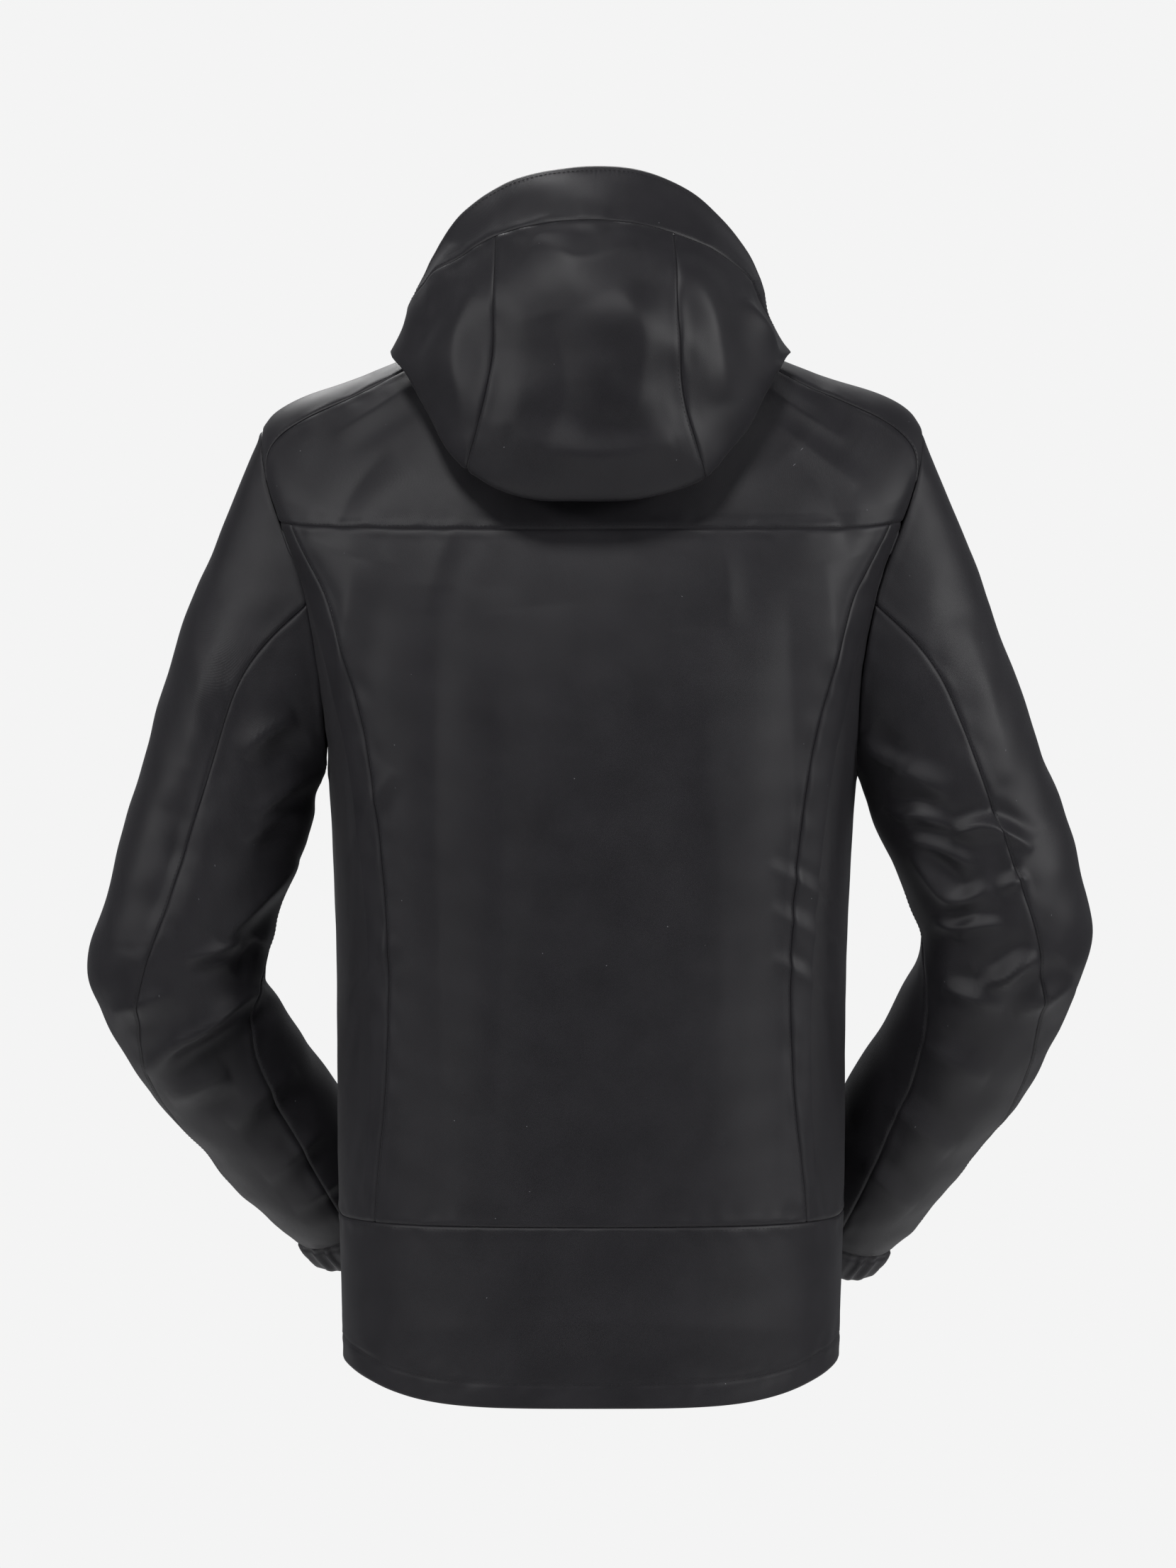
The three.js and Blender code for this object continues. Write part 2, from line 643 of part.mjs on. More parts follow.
add(
  "hem_facing",
  sheet(
    torso,
    {
      top: facingRow(facingLevels[0]),
      bottom: facingRow(facingLevels[1]),
      left: along((level) => [facingTurns[0], level], ...facingLevels, 1),
      right: along((level) => [facingTurns.at(-1), level], ...facingLevels, 1),
    },
    { outset: liningOutset, thickness: liningThickness },
  ),
  "lining",
);

// The hanger loop is a bar on two feet, on the lining at the middle of the collar's back.
const loopHalf = 22;
const loopBar = 5;
const loopReach = 7;
const loopDepth = 2.5;
const loopFoot = 7;
const loopZ = 30;
const loopTurn = degrees(Math.acos(loopHalf / (neckSide - collarLean)));
const loopLevel = (collarTopBack - loopZ) / (collarTopBack - torso(90, 0).z);
const loopFace = collar(loopTurn, loopLevel).y + flapOutset;
const loopFront = loopFace - loopReach;
const loopTop = loopZ + loopBar;
add(
  "hanger_loop",
  join(
    block([-loopHalf, loopFront, loopZ], [loopHalf, loopFront + loopDepth, loopTop]),
    block([-loopHalf, loopFront, loopZ], [-loopHalf + loopFoot, loopFace, loopTop]),
    block([loopHalf - loopFoot, loopFront, loopZ], [loopHalf, loopFace, loopTop]),
  ),
  "trim",
);

// ---------------------------------------------------------------- hood
// The folded hood is a fan of half hoops that all start beside the neck: the brim stands up behind
// the collar, the crown hangs out behind it, and the last hoop lies on the shoulders. wide, high and
// deep are 2 for a round hoop: above 2 it is fuller that way, and below 2 leaner.
const hoodHoops = [
  { half: 131, y: 4, z: 6, reach: 84, rise: hoodHeight - 6, wide: 2.1, high: 2.1, deep: 2.1 },
  { half: 134, y: 4, z: 6, reach: 124, rise: 84, wide: 2.05, high: 2.05, deep: 2.16 },
  { half: 139, y: 5, z: 5, reach: hoodReach - 6, rise: 32, wide: 2.0, high: 2.0, deep: 2.35 },
  { half: hoodHalf, y: 7, z: 3, reach: hoodReach - 7, rise: -42, wide: 2.1, high: 1.5, deep: 2.5 },
  { half: 139, y: 10, z: 5, reach: 130, rise: -hoodDrop - 5, wide: 3.0, high: 1.15, deep: 2.4 },
];
const hoodBase = hoodHoops.length;
const hoodBaseLevels = [0.66, 1.66]; // on the torso, beside the neck and at the back
const hoodBaseInset = 113.9; // from the tip of the shoulder in to where the last hoop starts

function hoopPoint(index, turn) {
  const c = Math.cos(radians(turn));
  const s = Math.sin(radians(turn));
  if (index === hoodBase) {
    const level = mix(hoodBaseLevels[0], hoodBaseLevels[1], s ** 1.6);
    const half = (shoulderHalf - hoodBaseInset) * signedPower(c, 2 / hoodHoops[hoodBase - 1].wide);
    const across = half / ringValue("side", level);
    const place = [degrees(Math.acos(signedPower(across, ringValue("square", level) / 2))), level];
    return torso(...place).addScaledVector(normalAt(torso, place), hoodSeatGap + clothThickness);
  }
  const hoop = hoodHoops[index];
  return vector(
    hoop.half * signedPower(c, 2 / hoop.wide),
    hoop.y + hoop.reach * signedPower(s, 2 / hoop.deep),
    hoop.z + hoop.rise * signedPower(s, 2 / hoop.high),
  );
}
const hood = (turn, level) => splineVector(hoodBase + 1, (index) => hoopPoint(index, turn), level);

const hoodEnd = 5; // degrees left free beside the neck
const hoodSeamTurns = [60, 116];
const brimLevel = 1;
const brimRow = (level) =>
  chain(
    along((turn) => [turn, level], hoodEnd, hoodSeamTurns[0], 6),
    along((turn) => [turn, level], hoodSeamTurns[0], hoodSeamTurns[1], 6),
    along((turn) => [turn, level], hoodSeamTurns[1], 180 - hoodEnd, 6),
  );
add(
  "hood_brim",
  sheet(hood, {
    top: brimRow(0),
    bottom: brimRow(brimLevel),
    left: along((level) => [hoodEnd, level], 0, brimLevel, 2),
    right: along((level) => [180 - hoodEnd, level], 0, brimLevel, 2),
  }),
  "shell",
);
const brimFacingRow = (level) => brimRow(level).slice(1, -1);
const brimFacingLevels = [0.06, 0.5];
add(
  "hood_brim_facing",
  sheet(
    hood,
    {
      top: brimFacingRow(brimFacingLevels[0]),
      bottom: brimFacingRow(brimFacingLevels[1]),
      left: along((level) => [brimRow(0)[1][0], level], ...brimFacingLevels, 1),
      right: along((level) => [brimRow(0).at(-2)[0], level], ...brimFacingLevels, 1),
    },
    { outset: liningOutset, thickness: liningThickness },
  ),
  "lining",
);
const hoodPanels = {
  hood_side_left: [hoodEnd, hoodSeamTurns[0]],
  hood_center: hoodSeamTurns,
  hood_side_right: [hoodSeamTurns[1], 180 - hoodEnd],
};
for (const [name, turns] of Object.entries(hoodPanels)) {
  add(name, sheet(hood, plainEdges(...turns, [brimLevel, hoodBase], 6, 8)), "shell");
}

// ---------------------------------------------------------------- zips
// A zip's own frame has its chain's lower end at 0, z up along it and -y out of the garment.
const chainHalf = 1.7;
const chainDepth = 2.4;
const tapeThickness = 1;
const partGap = 0.3;
const stopHeight = 3;
const sliderHeight = 11;
const sliderHalf = 4.2;
const sliderPlate = 1.7;
const pinRadius = 0.7;
const pinStandoff = 2.6; // from the slider's face to the middle of its pin
const lugHalf = 3.4;
const lugWidth = 1.1;
const lugReach = 1.3; // of the lugs, past the pin's middle
const lugHalfHeight = 1.6;
const pinClearance = 0.35;
const pullHalf = 3;

function addZip(name, { length, tapeHalf, pullLength, placement }) {
  const zip = new THREE.Group();
  zip.applyMatrix4(placement);
  jacket.add(zip);
  const front = -chainDepth / 2;
  const tape = (side) => {
    const [inner, outer] = [side * (chainHalf + partGap), side * tapeHalf];
    return block(
      [Math.min(inner, outer), -tapeThickness / 2, 0],
      [Math.max(inner, outer), tapeThickness / 2, length],
    );
  };
  add(`${name}_tape_left`, tape(1), "trim", zip);
  add(`${name}_tape_right`, tape(-1), "trim", zip);
  const stopFoot = length - stopHeight;
  add(`${name}_chain`, block([-chainHalf, front, 0], [chainHalf, -front, stopFoot - partGap]), "trim", zip);
  add(`${name}_top_stop`, block([-chainHalf, front, stopFoot], [chainHalf, -front, length]), "metal", zip);

  // The slider rides on the chain's outer face, just below the top stop.
  const face = front - partGap - sliderPlate;
  const sliderTop = length - stopHeight - 2 * partGap;
  const pinY = face - pinStandoff;
  const pinZ = sliderTop - sliderHeight / 2;
  const lug = (side) =>
    block(
      [side > 0 ? lugHalf - lugWidth : -lugHalf, pinY - lugReach, pinZ - lugHalfHeight],
      [side > 0 ? lugHalf : -lugHalf + lugWidth, face + 0.4, pinZ + lugHalfHeight],
    );
  add(
    `${name}_slider`,
    join(
      block([-sliderHalf, face, sliderTop - sliderHeight], [sliderHalf, face + sliderPlate, sliderTop]),
      lug(1),
      lug(-1),
      crossBar(pinRadius, 2 * lugHalf - 0.4, 10).translate(0, pinY, pinZ),
    ),
    "metal",
    zip,
  );

  // The pull hangs plumb from the pin, whatever way its zip leans.
  const hinge = new THREE.Group();
  hinge.position.set(0, pinY, pinZ);
  const plumb = vector(0, 0, -1).transformDirection(placement.clone().invert());
  hinge.rotation.x = Math.atan2(plumb.y, -plumb.z);
  zip.add(hinge);
  const eyeHalf = lugHalf - lugWidth - pinClearance;
  const eyeRadius = pinRadius + pinClearance + 0.7;
  add(
    `${name}_pull`,
    cut(
      join(
        crossBar(eyeRadius, 2 * eyeHalf, 12),
        block([-eyeHalf, -0.7, -6], [eyeHalf, 0.5, -pinRadius - pinClearance]),
        block([-pullHalf, -0.8, -pullLength], [pullHalf, 0.6, -5]),
      ),
      crossBar(pinRadius + pinClearance, 2 * eyeHalf + 2, 12),
    ),
    "trim",
    hinge,
  );
}

// The main zip is one straight line from the hem to the collar's top.
const mainBottom = vector(0, -frontAt(hemZ + 14), hemZ + 14);
const mainTopZ = collarTopFront - 4;
const mainUp = vector(0, -frontAt(mainTopZ), mainTopZ).sub(mainBottom);
const mainLength = mainUp.length();
mainUp.normalize();
const zipPlacement = (across, up, origin) => {
  const inwardWay = up.clone().cross(across);
  return new THREE.Matrix4().makeBasis(across, inwardWay, up).setPosition(origin);
};
const mainSink = 0.4; // of the tapes below the cloth's face
const mainPlacement = zipPlacement(
  vector(1, 0, 0),
  mainUp,
  mainBottom.clone().addScaledVector(mainUp.clone().cross(vector(1, 0, 0)), mainSink),
);
addZip("main_zip", {
  length: mainLength,
  tapeHalf: zipOpening - partGap,
  pullLength: 34,
  placement: mainPlacement,
});
const retainer = new THREE.Group();
retainer.applyMatrix4(mainPlacement);
jacket.add(retainer);
add("main_zip_retainer_box", block([-5, -1.4, -11], [5, 1.4, -partGap]), "metal", retainer);

// Each hand pocket has a straight zip on a welt, laid on the front panel, and a bag behind it.
const pocketTop = { turn: -63, z: -398 };
const pocketSlant = 26; // how much further out the pocket's lower end is
const weltHalf = 12;
const weltThickness = 1.4;
const bagTurns = [-68, -40];
const bagHeights = [-372, -596];

function pocketFrame() {
  const top = torso(pocketTop.turn, levelAt(pocketTop.turn, pocketTop.z));
  const lowerZ = pocketTop.z - Math.sqrt(pocketLength ** 2 - pocketSlant ** 2);
  let turn = pocketTop.turn;
  const lowerAt = (angle) => torso(angle, levelAt(angle, lowerZ));
  while (lowerAt(turn).x < top.x + pocketSlant) turn += 0.05;
  const bottom = lowerAt(turn);
  const up = top.clone().sub(bottom).normalize();
  const middleTurn = (turn + pocketTop.turn) / 2;
  const middle = [middleTurn, levelAt(middleTurn, (pocketTop.z + lowerZ) / 2)];
  const out = normalAt(torso, middle);
  out.addScaledVector(up, -out.dot(up)).normalize();
  // The welt is lifted until it clears the highest place of the panel behind it.
  const lift = Math.max(
    ...along((share) => share, 0, 1, 12).flatMap((share) => {
      const height = mix(bottom.z, top.z, share);
      return along((angle) => torso(angle, levelAt(angle, height)).sub(bottom).dot(out), -75, -35, 24);
    }),
  );
  return { bottom, up, out, lift };
}
const { bottom: pocketFoot, up: pocketUp, out: pocketOut, lift: pocketLift } = pocketFrame();
const weltFront = pocketLift + layerGap + weltThickness;
const pocketOrigin = pocketFoot.clone().addScaledVector(pocketOut, weltFront + partGap + chainDepth / 2);
for (const [side, sign] of [["left", 1], ["right", -1]]) {
  const turned = (v) => vector(sign * v.x, v.y, v.z);
  const up = turned(pocketUp);
  const placement = zipPlacement(up.clone().cross(turned(pocketOut)), up, turned(pocketOrigin));
  addZip(`pocket_zip_${side}`, { length: pocketLength, tapeHalf: 8, pullLength: 26, placement });
  const welt = new THREE.Group();
  welt.applyMatrix4(placement);
  jacket.add(welt);
  const weltBack = chainDepth / 2 + partGap;
  add(
    `pocket_welt_${side}`,
    block([-weltHalf, weltBack, -4], [weltHalf, weltBack + weltThickness, pocketLength + 4]),
    "shell",
    welt,
  );
}
const bagLevels = bagHeights.map((z) => levelAt(-50, z));
const bagSheet = { outset: liningOutset, thickness: liningThickness };
addPair("pocket_bag", sheet(torso, plainEdges(...bagTurns, bagLevels, 5, 5), bagSheet), "lining");

export default jacket;
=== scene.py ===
# %% [markdown]
# # A hardshell jacket, zipped up, with its hood folded down
# This lesson dresses a fixed frame of measured parts with cloth, stitching and zips. The frame says
# where every panel is and what moves. Blender adds what makes it look sewn: folds, puckered seams,
# weave and topstitching. Lengths are millimetres in the making, and metres on the finished meshes.

# %% Load the frame
import json
import math

import bmesh
import bpy
import numpy as np
from mathutils import Matrix, Vector


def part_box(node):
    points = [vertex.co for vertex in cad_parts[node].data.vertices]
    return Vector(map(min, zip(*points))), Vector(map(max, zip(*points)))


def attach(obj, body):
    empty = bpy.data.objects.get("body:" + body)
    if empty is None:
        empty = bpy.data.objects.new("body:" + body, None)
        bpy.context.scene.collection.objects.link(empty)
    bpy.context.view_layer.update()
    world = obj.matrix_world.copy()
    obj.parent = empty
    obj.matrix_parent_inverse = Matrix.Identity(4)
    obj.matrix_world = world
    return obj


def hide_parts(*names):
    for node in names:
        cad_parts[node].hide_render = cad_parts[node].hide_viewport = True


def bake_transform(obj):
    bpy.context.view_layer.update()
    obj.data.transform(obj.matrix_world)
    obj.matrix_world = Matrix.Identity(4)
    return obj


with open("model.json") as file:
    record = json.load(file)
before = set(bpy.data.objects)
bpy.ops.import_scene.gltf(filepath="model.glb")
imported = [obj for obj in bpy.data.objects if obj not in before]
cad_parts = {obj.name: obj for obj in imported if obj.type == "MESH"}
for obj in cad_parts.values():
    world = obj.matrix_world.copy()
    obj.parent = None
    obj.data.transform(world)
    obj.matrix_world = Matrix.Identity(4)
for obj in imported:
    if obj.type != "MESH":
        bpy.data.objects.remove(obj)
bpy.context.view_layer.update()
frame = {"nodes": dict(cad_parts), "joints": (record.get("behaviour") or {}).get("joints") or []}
joints = {joint["name"]: joint for joint in frame["joints"]}
MM = 0.001

# %% [markdown]
# ## The studio
# A dark garment is lit by large soft lights, because the sheen along its folds is all that shows its
# shape. The room is pale all round, one light hangs over the back and one over the front, and a
# smaller one rakes the back from each side so that the folds cast soft shade.

# %% Camera, lights and floor
scene = bpy.context.scene
camera = bpy.data.objects.new("camera", bpy.data.cameras.new("camera"))
camera.data.lens = 158
camera.location = (0.0023, 5.0, -0.3105)
camera.rotation_euler = (math.radians(90), 0, math.radians(180))
scene.collection.objects.link(camera)
scene.camera = camera

world = bpy.data.worlds.new("pale_room")
world.use_nodes = True
room = world.node_tree.nodes["Background"]
room.inputs["Color"].default_value = (0.90, 0.92, 0.97, 1)
room.inputs["Strength"].default_value = 0.15
wall = world.node_tree.nodes.new("ShaderNodeBackground")
wall.inputs["Color"].default_value = (0.905, 0.905, 0.905, 1)
seen = world.node_tree.nodes.new("ShaderNodeLightPath")
choose = world.node_tree.nodes.new("ShaderNodeMixShader")
world.node_tree.links.new(seen.outputs["Is Camera Ray"], choose.inputs[0])
world.node_tree.links.new(room.outputs[0], choose.inputs[1])
world.node_tree.links.new(wall.outputs[0], choose.inputs[2])
world.node_tree.links.new(choose.outputs[0], world.node_tree.nodes["World Output"].inputs["Surface"])
scene.world = world
scene.view_settings.view_transform = "Standard"


def soft_light(name, place, aim, size, power):
    light = bpy.data.lights.new(name, "AREA")
    light.shape, light.size, light.energy = "DISK", size, power
    lamp = bpy.data.objects.new(name, light)
    lamp.location = place
    lamp.rotation_euler = (Vector(aim) - Vector(place)).to_track_quat("-Z", "Y").to_euler()
    scene.collection.objects.link(lamp)


soft_light("over_the_back", (0.5, 2.0, 2.2), (0, 0, -0.25), 0.7, 40)
soft_light("left_rake", (2.3, 1.5, 0.7), (0, 0, -0.35), 0.6, 24)
soft_light("right_rake", (-2.3, 1.2, 0.5), (0, 0, -0.35), 0.6, 32)
soft_light("over_the_front", (0.3, -2.0, 1.9), (0, 0, -0.3), 1.4, 60)

bpy.ops.mesh.primitive_plane_add(size=3.0, location=(0, 0, -1.2))
floor = bpy.context.object
floor.name = "floor"
floor_paint = bpy.data.materials.new("pale_floor")
floor_paint.use_nodes = True
floor_paint.node_tree.nodes["Principled BSDF"].inputs["Base Color"].default_value = (0.8, 0.8, 0.8, 1)
floor.data.materials.append(floor_paint)
print("camera lens", camera.data.lens, "mm, 4 lights")

# %% [markdown]
# ## Writing shaders as sums
# A material is a web of nodes. Wiring it line by line hides what it means, so one small class wraps
# a socket and turns +, - and * into Math nodes. A bump height then reads like a formula.


# %% A socket that can be added and multiplied
class Thread:
    """A socket of a material, on which arithmetic adds Math nodes."""

    def __init__(self, tree, socket=None):
        self.tree, self.socket = tree, socket

    def make(self, kind, settings=None, sockets=None, out=0):
        node = self.tree.nodes.new(kind)
        for name, value in (settings or {}).items():
            if name == "stops":
                for place, colour in value:
                    element = node.color_ramp.elements.new(place)
                    element.color = colour
                node.color_ramp.elements.remove(node.color_ramp.elements[0])
                node.color_ramp.elements.remove(node.color_ramp.elements[-1])
            else:
                setattr(node, name, value)
        for name, value in (sockets or {}).items():
            if isinstance(value, Thread):
                self.tree.links.new(value.socket, node.inputs[name])
            else:
                node.inputs[name].default_value = value
        return Thread(self.tree, node.outputs[out])

    def maths(self, operation, a, b=0.0):
        return self.make("ShaderNodeMath", {"operation": operation}, {0: a, 1: b})

    def __add__(self, other):
        return self.maths("ADD", self, other)

    def __sub__(self, other):
        return self.maths("SUBTRACT", self, other)

    def __mul__(self, other):
        return self.maths("MULTIPLY", self, other)

    __radd__, __rmul__ = __add__, __mul__

    def sine(self):
        return self.maths("SINE", self)

    def blend(self, first, second):
        """Goes from one colour to another as this value goes from 0 to 1."""
        return self.make(
            "ShaderNodeMix", {"data_type": "RGBA"}, {"Factor": self, 6: first, 7: second}, out=2
        )


def material(name, rough, sheen=0.0, specular=0.5, metal=0.0):
    """A bare material, the socket maker on it, and its shader."""
    made = bpy.data.materials.new(name)
    made.use_nodes = True
    shader = made.node_tree.nodes["Principled BSDF"]
    shader.inputs["Roughness"].default_value = rough
    shader.inputs["Metallic"].default_value = metal
    shader.inputs["Specular IOR Level"].default_value = specular
    shader.inputs["Sheen Weight"].default_value = sheen
    shader.inputs["Sheen Roughness"].default_value = 0.45
    return made, Thread(made.node_tree), shader


def finish_shader(thread, shader, colour, rough, height, depth):
    """Joins a colour, a roughness and a bump height, which is depth metres deep, to the shader."""
    bump = thread.make("ShaderNodeBump", None, {"Strength": 1.0, "Distance": depth, "Height": height})
    for name, value in (("Base Color", colour), ("Roughness", rough), ("Normal", bump)):
        thread.tree.links.new(value.socket, shader.inputs[name])


# %% [markdown]
# ## Cloth finishes
# The shell is a plain-woven laminate: fine threads over and under, a satin face, a violet cast in
# its black. It reads the piece's own UV map, laid out in metres, so that the weave keeps its size and
# turns with each panel's cut. Slow noise makes the face a little uneven, and a few pale specks are lint.


# %% Woven cloth
def woven(name, dark, light, rough, sheen, specular, pitch, relief, lint=0.0):
    made, thread, shader = material(name, rough, sheen, specular)
    uv = thread.make("ShaderNodeTexCoord", out="UV")
    parts = uv.make("ShaderNodeSeparateXYZ", None, {0: uv})
    across, along = parts, Thread(thread.tree, parts.socket.node.outputs[1])
    turns = 2 * math.pi / pitch
    weave = (across * turns).sine() * (along * turns).sine()
    cloudy = thread.make("ShaderNodeTexNoise", None, {"Vector": uv, "Scale": 26.0, "Detail": 5.0})
    fine = thread.make("ShaderNodeTexNoise", None, {"Vector": uv, "Scale": 900.0, "Detail": 2.0})
    shade = cloudy * 0.55 + fine * 0.45 + weave * 0.08
    colour = shade.make(
        "ShaderNodeValToRGB", {"stops": [(0.3, (*dark, 1)), (0.7, (*light, 1))]}, {0: shade}
    )
    if lint:
        specks = thread.make(
            "ShaderNodeTexVoronoi", None, {"Vector": uv, "Scale": 55.0, "Randomness": 1.0}
        )
        speck = thread.maths("LESS_THAN", specks, 0.022) * lint
        colour = speck.blend(colour, (0.3, 0.3, 0.32, 1))
    height = weave * 0.5 + fine * 0.6
    finish_shader(thread, shader, colour, cloudy * 0.16 + (rough - 0.08), height, relief)
    return made


shell_cloth = woven(
    "shell_laminate", (0.0102, 0.0094, 0.0116), (0.0172, 0.0160, 0.0192),
    rough=0.48, sheen=0.04, specular=0.36, pitch=0.0009, relief=0.00005, lint=0.5,
)
lining_cloth = woven(
    "lining_tricot", (0.030, 0.030, 0.033), (0.052, 0.052, 0.057),
    rough=0.8, sheen=0.2, specular=0.3, pitch=0.0014, relief=0.00008,
)
tape_cloth = woven(
    "zip_tape", (0.008, 0.008, 0.009), (0.016, 0.016, 0.018),
    rough=0.6, sheen=0.05, specular=0.4, pitch=0.0011, relief=0.0001,
)
print("cloth finishes:", shell_cloth.name, lining_cloth.name, tape_cloth.name)

# %% [markdown]
# ## The surfaces under the cloth
# Every panel is cut from one smooth surface: the torso, the collar, the hood or a sleeve. Each
# surface is a list of rings with a smooth curve through them, the same as the frame's, so a panel
# made here lies exactly where the frame has it. A place is a turn round the body and a level down it.

# %% Curves and rings
FINE = 8  # places along an edge for each of the frame's cells
HEM = -753.0
ZIP_HALF = 9.0
HEM_FOLD = 17.0  # from the hem's edge up to its stitch line


def curve_shares(t):
    """How much the value before, the two beside and the one after count, between two values."""
    return (
        t * (-1 + t * (2 - t)) / 2,
        1 + t * t * (-5 + 3 * t) / 2,
        t * (1 + t * (4 - 3 * t)) / 2,
        t * t * (t - 1) / 2,
    )


def spline(values, place):
    """A smooth curve through values, read at fractional places among them."""
    values, place = np.asarray(values, float), np.asarray(place, float)
    place = np.clip(place, 0, len(values) - 1)
    first = np.minimum(place.astype(int), len(values) - 2)
    shares = curve_shares(place - first)
    total = 0
    for k, share in enumerate(shares):
        near = values[np.clip(first - 1 + k, 0, len(values) - 1)]
        total = total + share.reshape(share.shape + (1,) * (near.ndim - share.ndim)) * near
    return total


def power(value, exponent):
    return np.sign(value) * np.abs(value) ** exponent


def smooth(low, high, value):
    t = np.clip((value - low) / (high - low), 0, 1)
    return t * t * (3 - 2 * t)


def sweep(curve, start, end, cells):
    """Places along a curve, finer than the frame's cells."""
    return curve(np.linspace(start, end, cells * FINE + 1))


def chain(*parts):
    return np.vstack([parts[0], *(part[1:] for part in parts[1:])])


def mirrored(places):
    return np.stack([180 - places[:, 0], places[:, 1]], -1)


# %% Torso and armhole
# Each ring: side, back, height at the side, back and front, squareness, sharpness of the shoulder.
TORSO = np.array(
    [
        (78, 62, 20, 6, -66, 2.0, 2),
        (160.1, 88, -12, -52, -108, 2.2, 4),
        (239, 106, -54, -116, -160, 2.7, 8),
        (213.7, 121, -172, -196, -210, 3.0, 4),
        (193, 129, -290, -290, -290, 2.8, 2),
        (185, 127, -440, -440, -440, 2.5, 2),
        (182.5, 126, -605, -605, -605, 2.4, 2),
        (180, 128, HEM + 28, HEM, HEM, 2.4, 4),
    ]
)
HEM_LEVEL = len(TORSO) - 1


def front_at(z):
    return 94 + 0.045 * (-66 - z)


def torso(turn, level):
    turn, level = np.broadcast_arrays(np.asarray(turn, float), np.asarray(level, float))
    c, s = np.cos(np.radians(turn)), np.sin(np.radians(turn))
    side, back, z_side, z_back, z_front, square, ridge = np.moveaxis(spline(TORSO, level), -1, 0)
    z = np.where(s >= 0, z_back, z_front)
    depth = np.where(s >= 0, back, front_at(z))
    return np.stack(
        [side * power(c, 2 / square), depth * power(s, 2 / square), z + (z_side - z) * np.abs(c) ** ridge],
        -1,
    )


def level_at(turn, z):
    """The level at which the torso passes through a height."""
    turn, z = np.broadcast_arrays(np.asarray(turn, float), np.asarray(z, float))
    low, high = np.zeros(turn.shape), np.full(turn.shape, float(HEM_LEVEL))
    for _ in range(30):
        middle = (low + high) / 2
        above = torso(turn, middle)[..., 2] > z
        low, high = np.where(above, middle, low), np.where(above, high, middle)
    return (low + high) / 2


def front_turn(x, level):
    ring = spline(TORSO, level)
    return -90 + np.degrees(np.arcsin((x / ring[..., 0]) ** (ring[..., 5] / 2)))


def armhole(around):
    a = np.radians(around)
    return np.stack([20 * np.sin(a), 2 + 2.08 * (1 - np.cos(a)) / 2], -1)


# %% Sleeves
# Each ring: middle, the way down the arm, half width side to side, half width front to back.
ARMS = {
    "left": [
        ((243, 2, -246), (0.86, 0, -0.51), 86, 61),
        ((267, -2, -326), (0.3, -0.02, -0.95), 66, 62),
        ((289, -5, -396), (0.27, -0.05, -0.96), 63, 62),
        ((302, -11, -450), (-0.04, -0.2, -0.97), 63, 61),
        ((276, -38, -503), (-0.5, -0.4, -0.77), 57, 57),
        ((229, -78, -563), (-0.52, -0.44, -0.73), 53, 54),
        ((198, -106, -608), (-0.5, -0.46, -0.73), 46, 48),
        ((184, -119, -629), (-0.45, -0.5, -0.74), 39, 39),
    ],
    "right": [
        ((243, 2, -246), (0.86, 0, -0.51), 86, 61),
        ((272, -2, -326), (0.3, -0.02, -0.95), 67, 62),
        ((294, -5, -384), (0.24, -0.05, -0.97), 63, 62),
        ((302, -11, -430), (-0.06, -0.2, -0.97), 61, 61),
        ((276, -38, -492), (-0.48, -0.4, -0.78), 58, 57),
        ((232, -78, -562), (-0.48, -0.44, -0.76), 54, 54),
        ((202, -106, -613), (-0.46, -0.46, -0.76), 47, 48),
        ((188, -119, -636), (-0.42, -0.5, -0.76), 39, 39),
    ],
}
CUFF = 8  # the level of the cuff seam, one cuff height above the sleeve's mouth
CUFF_HEIGHT = 24.0
SIGN = {"left": 1, "right": -1}


def ring_by_ring(rings, level, last):
    """Points between rings of points, each ring as long as the levels asked for."""
    here = np.clip(level.reshape(-1), 0, last)
    first = np.minimum(here.astype(int), last - 1)
    row = np.arange(rings.shape[1])
    shares = curve_shares(here - first)
    return sum(share[:, None] * rings[np.clip(first - 1 + k, 0, last), row] for k, share in enumerate(shares))


def sleeve(side):
    """The surface of one sleeve: round is 0 outside, 90 behind and 180 inside."""

    def rings(around):
        a = np.radians(around)
        places = armhole(around)
        points = [torso(places[..., 0], places[..., 1])]
        for middle, down, half, deep in ARMS[side]:
            down = np.array(down) / np.linalg.norm(down)
            outer = np.array([1.0, 0, 0]) - down[0] * down
            outer /= np.linalg.norm(outer)
            rear = np.cross(outer, down)
            points.append(
                np.array(middle, float)
                + np.cos(a)[..., None] * half * outer
                + np.sin(a)[..., None] * deep * rear
            )
        points.append(points[-1] + CUFF_HEIGHT * down)
        return points

    def surface(around, level):
        around, level = np.broadcast_arrays(np.asarray(around, float), np.asarray(level, float))
        points = np.stack(rings(around))
        flat = points.reshape(len(points), -1, 3)
        past = np.clip(level.reshape(-1) - CUFF, 0, 1)[:, None]
        total = ring_by_ring(flat, level, CUFF) + past * (flat[CUFF + 1] - flat[CUFF])
        total = total.reshape(level.shape + (3,))
        return total * (SIGN[side], 1, 1)

    return surface


# %% Collar and hood
def collar(turn, level):
    turn, level = np.broadcast_arrays(np.asarray(turn, float), np.asarray(level, float))
    base, s, up = torso(turn, 0 * level), np.sin(np.radians(turn)), 1 - level
    height = 40 + 50 * ((1 + s) / 2) ** 0.6 - base[..., 2]
    lean = 1 - 5 * up / 78
    z = base[..., 2] + height * up
    front = np.where(s < 0, front_at(z) / front_at(base[..., 2]), lean)
    return np.stack([base[..., 0] * lean, base[..., 1] * front, z], -1)


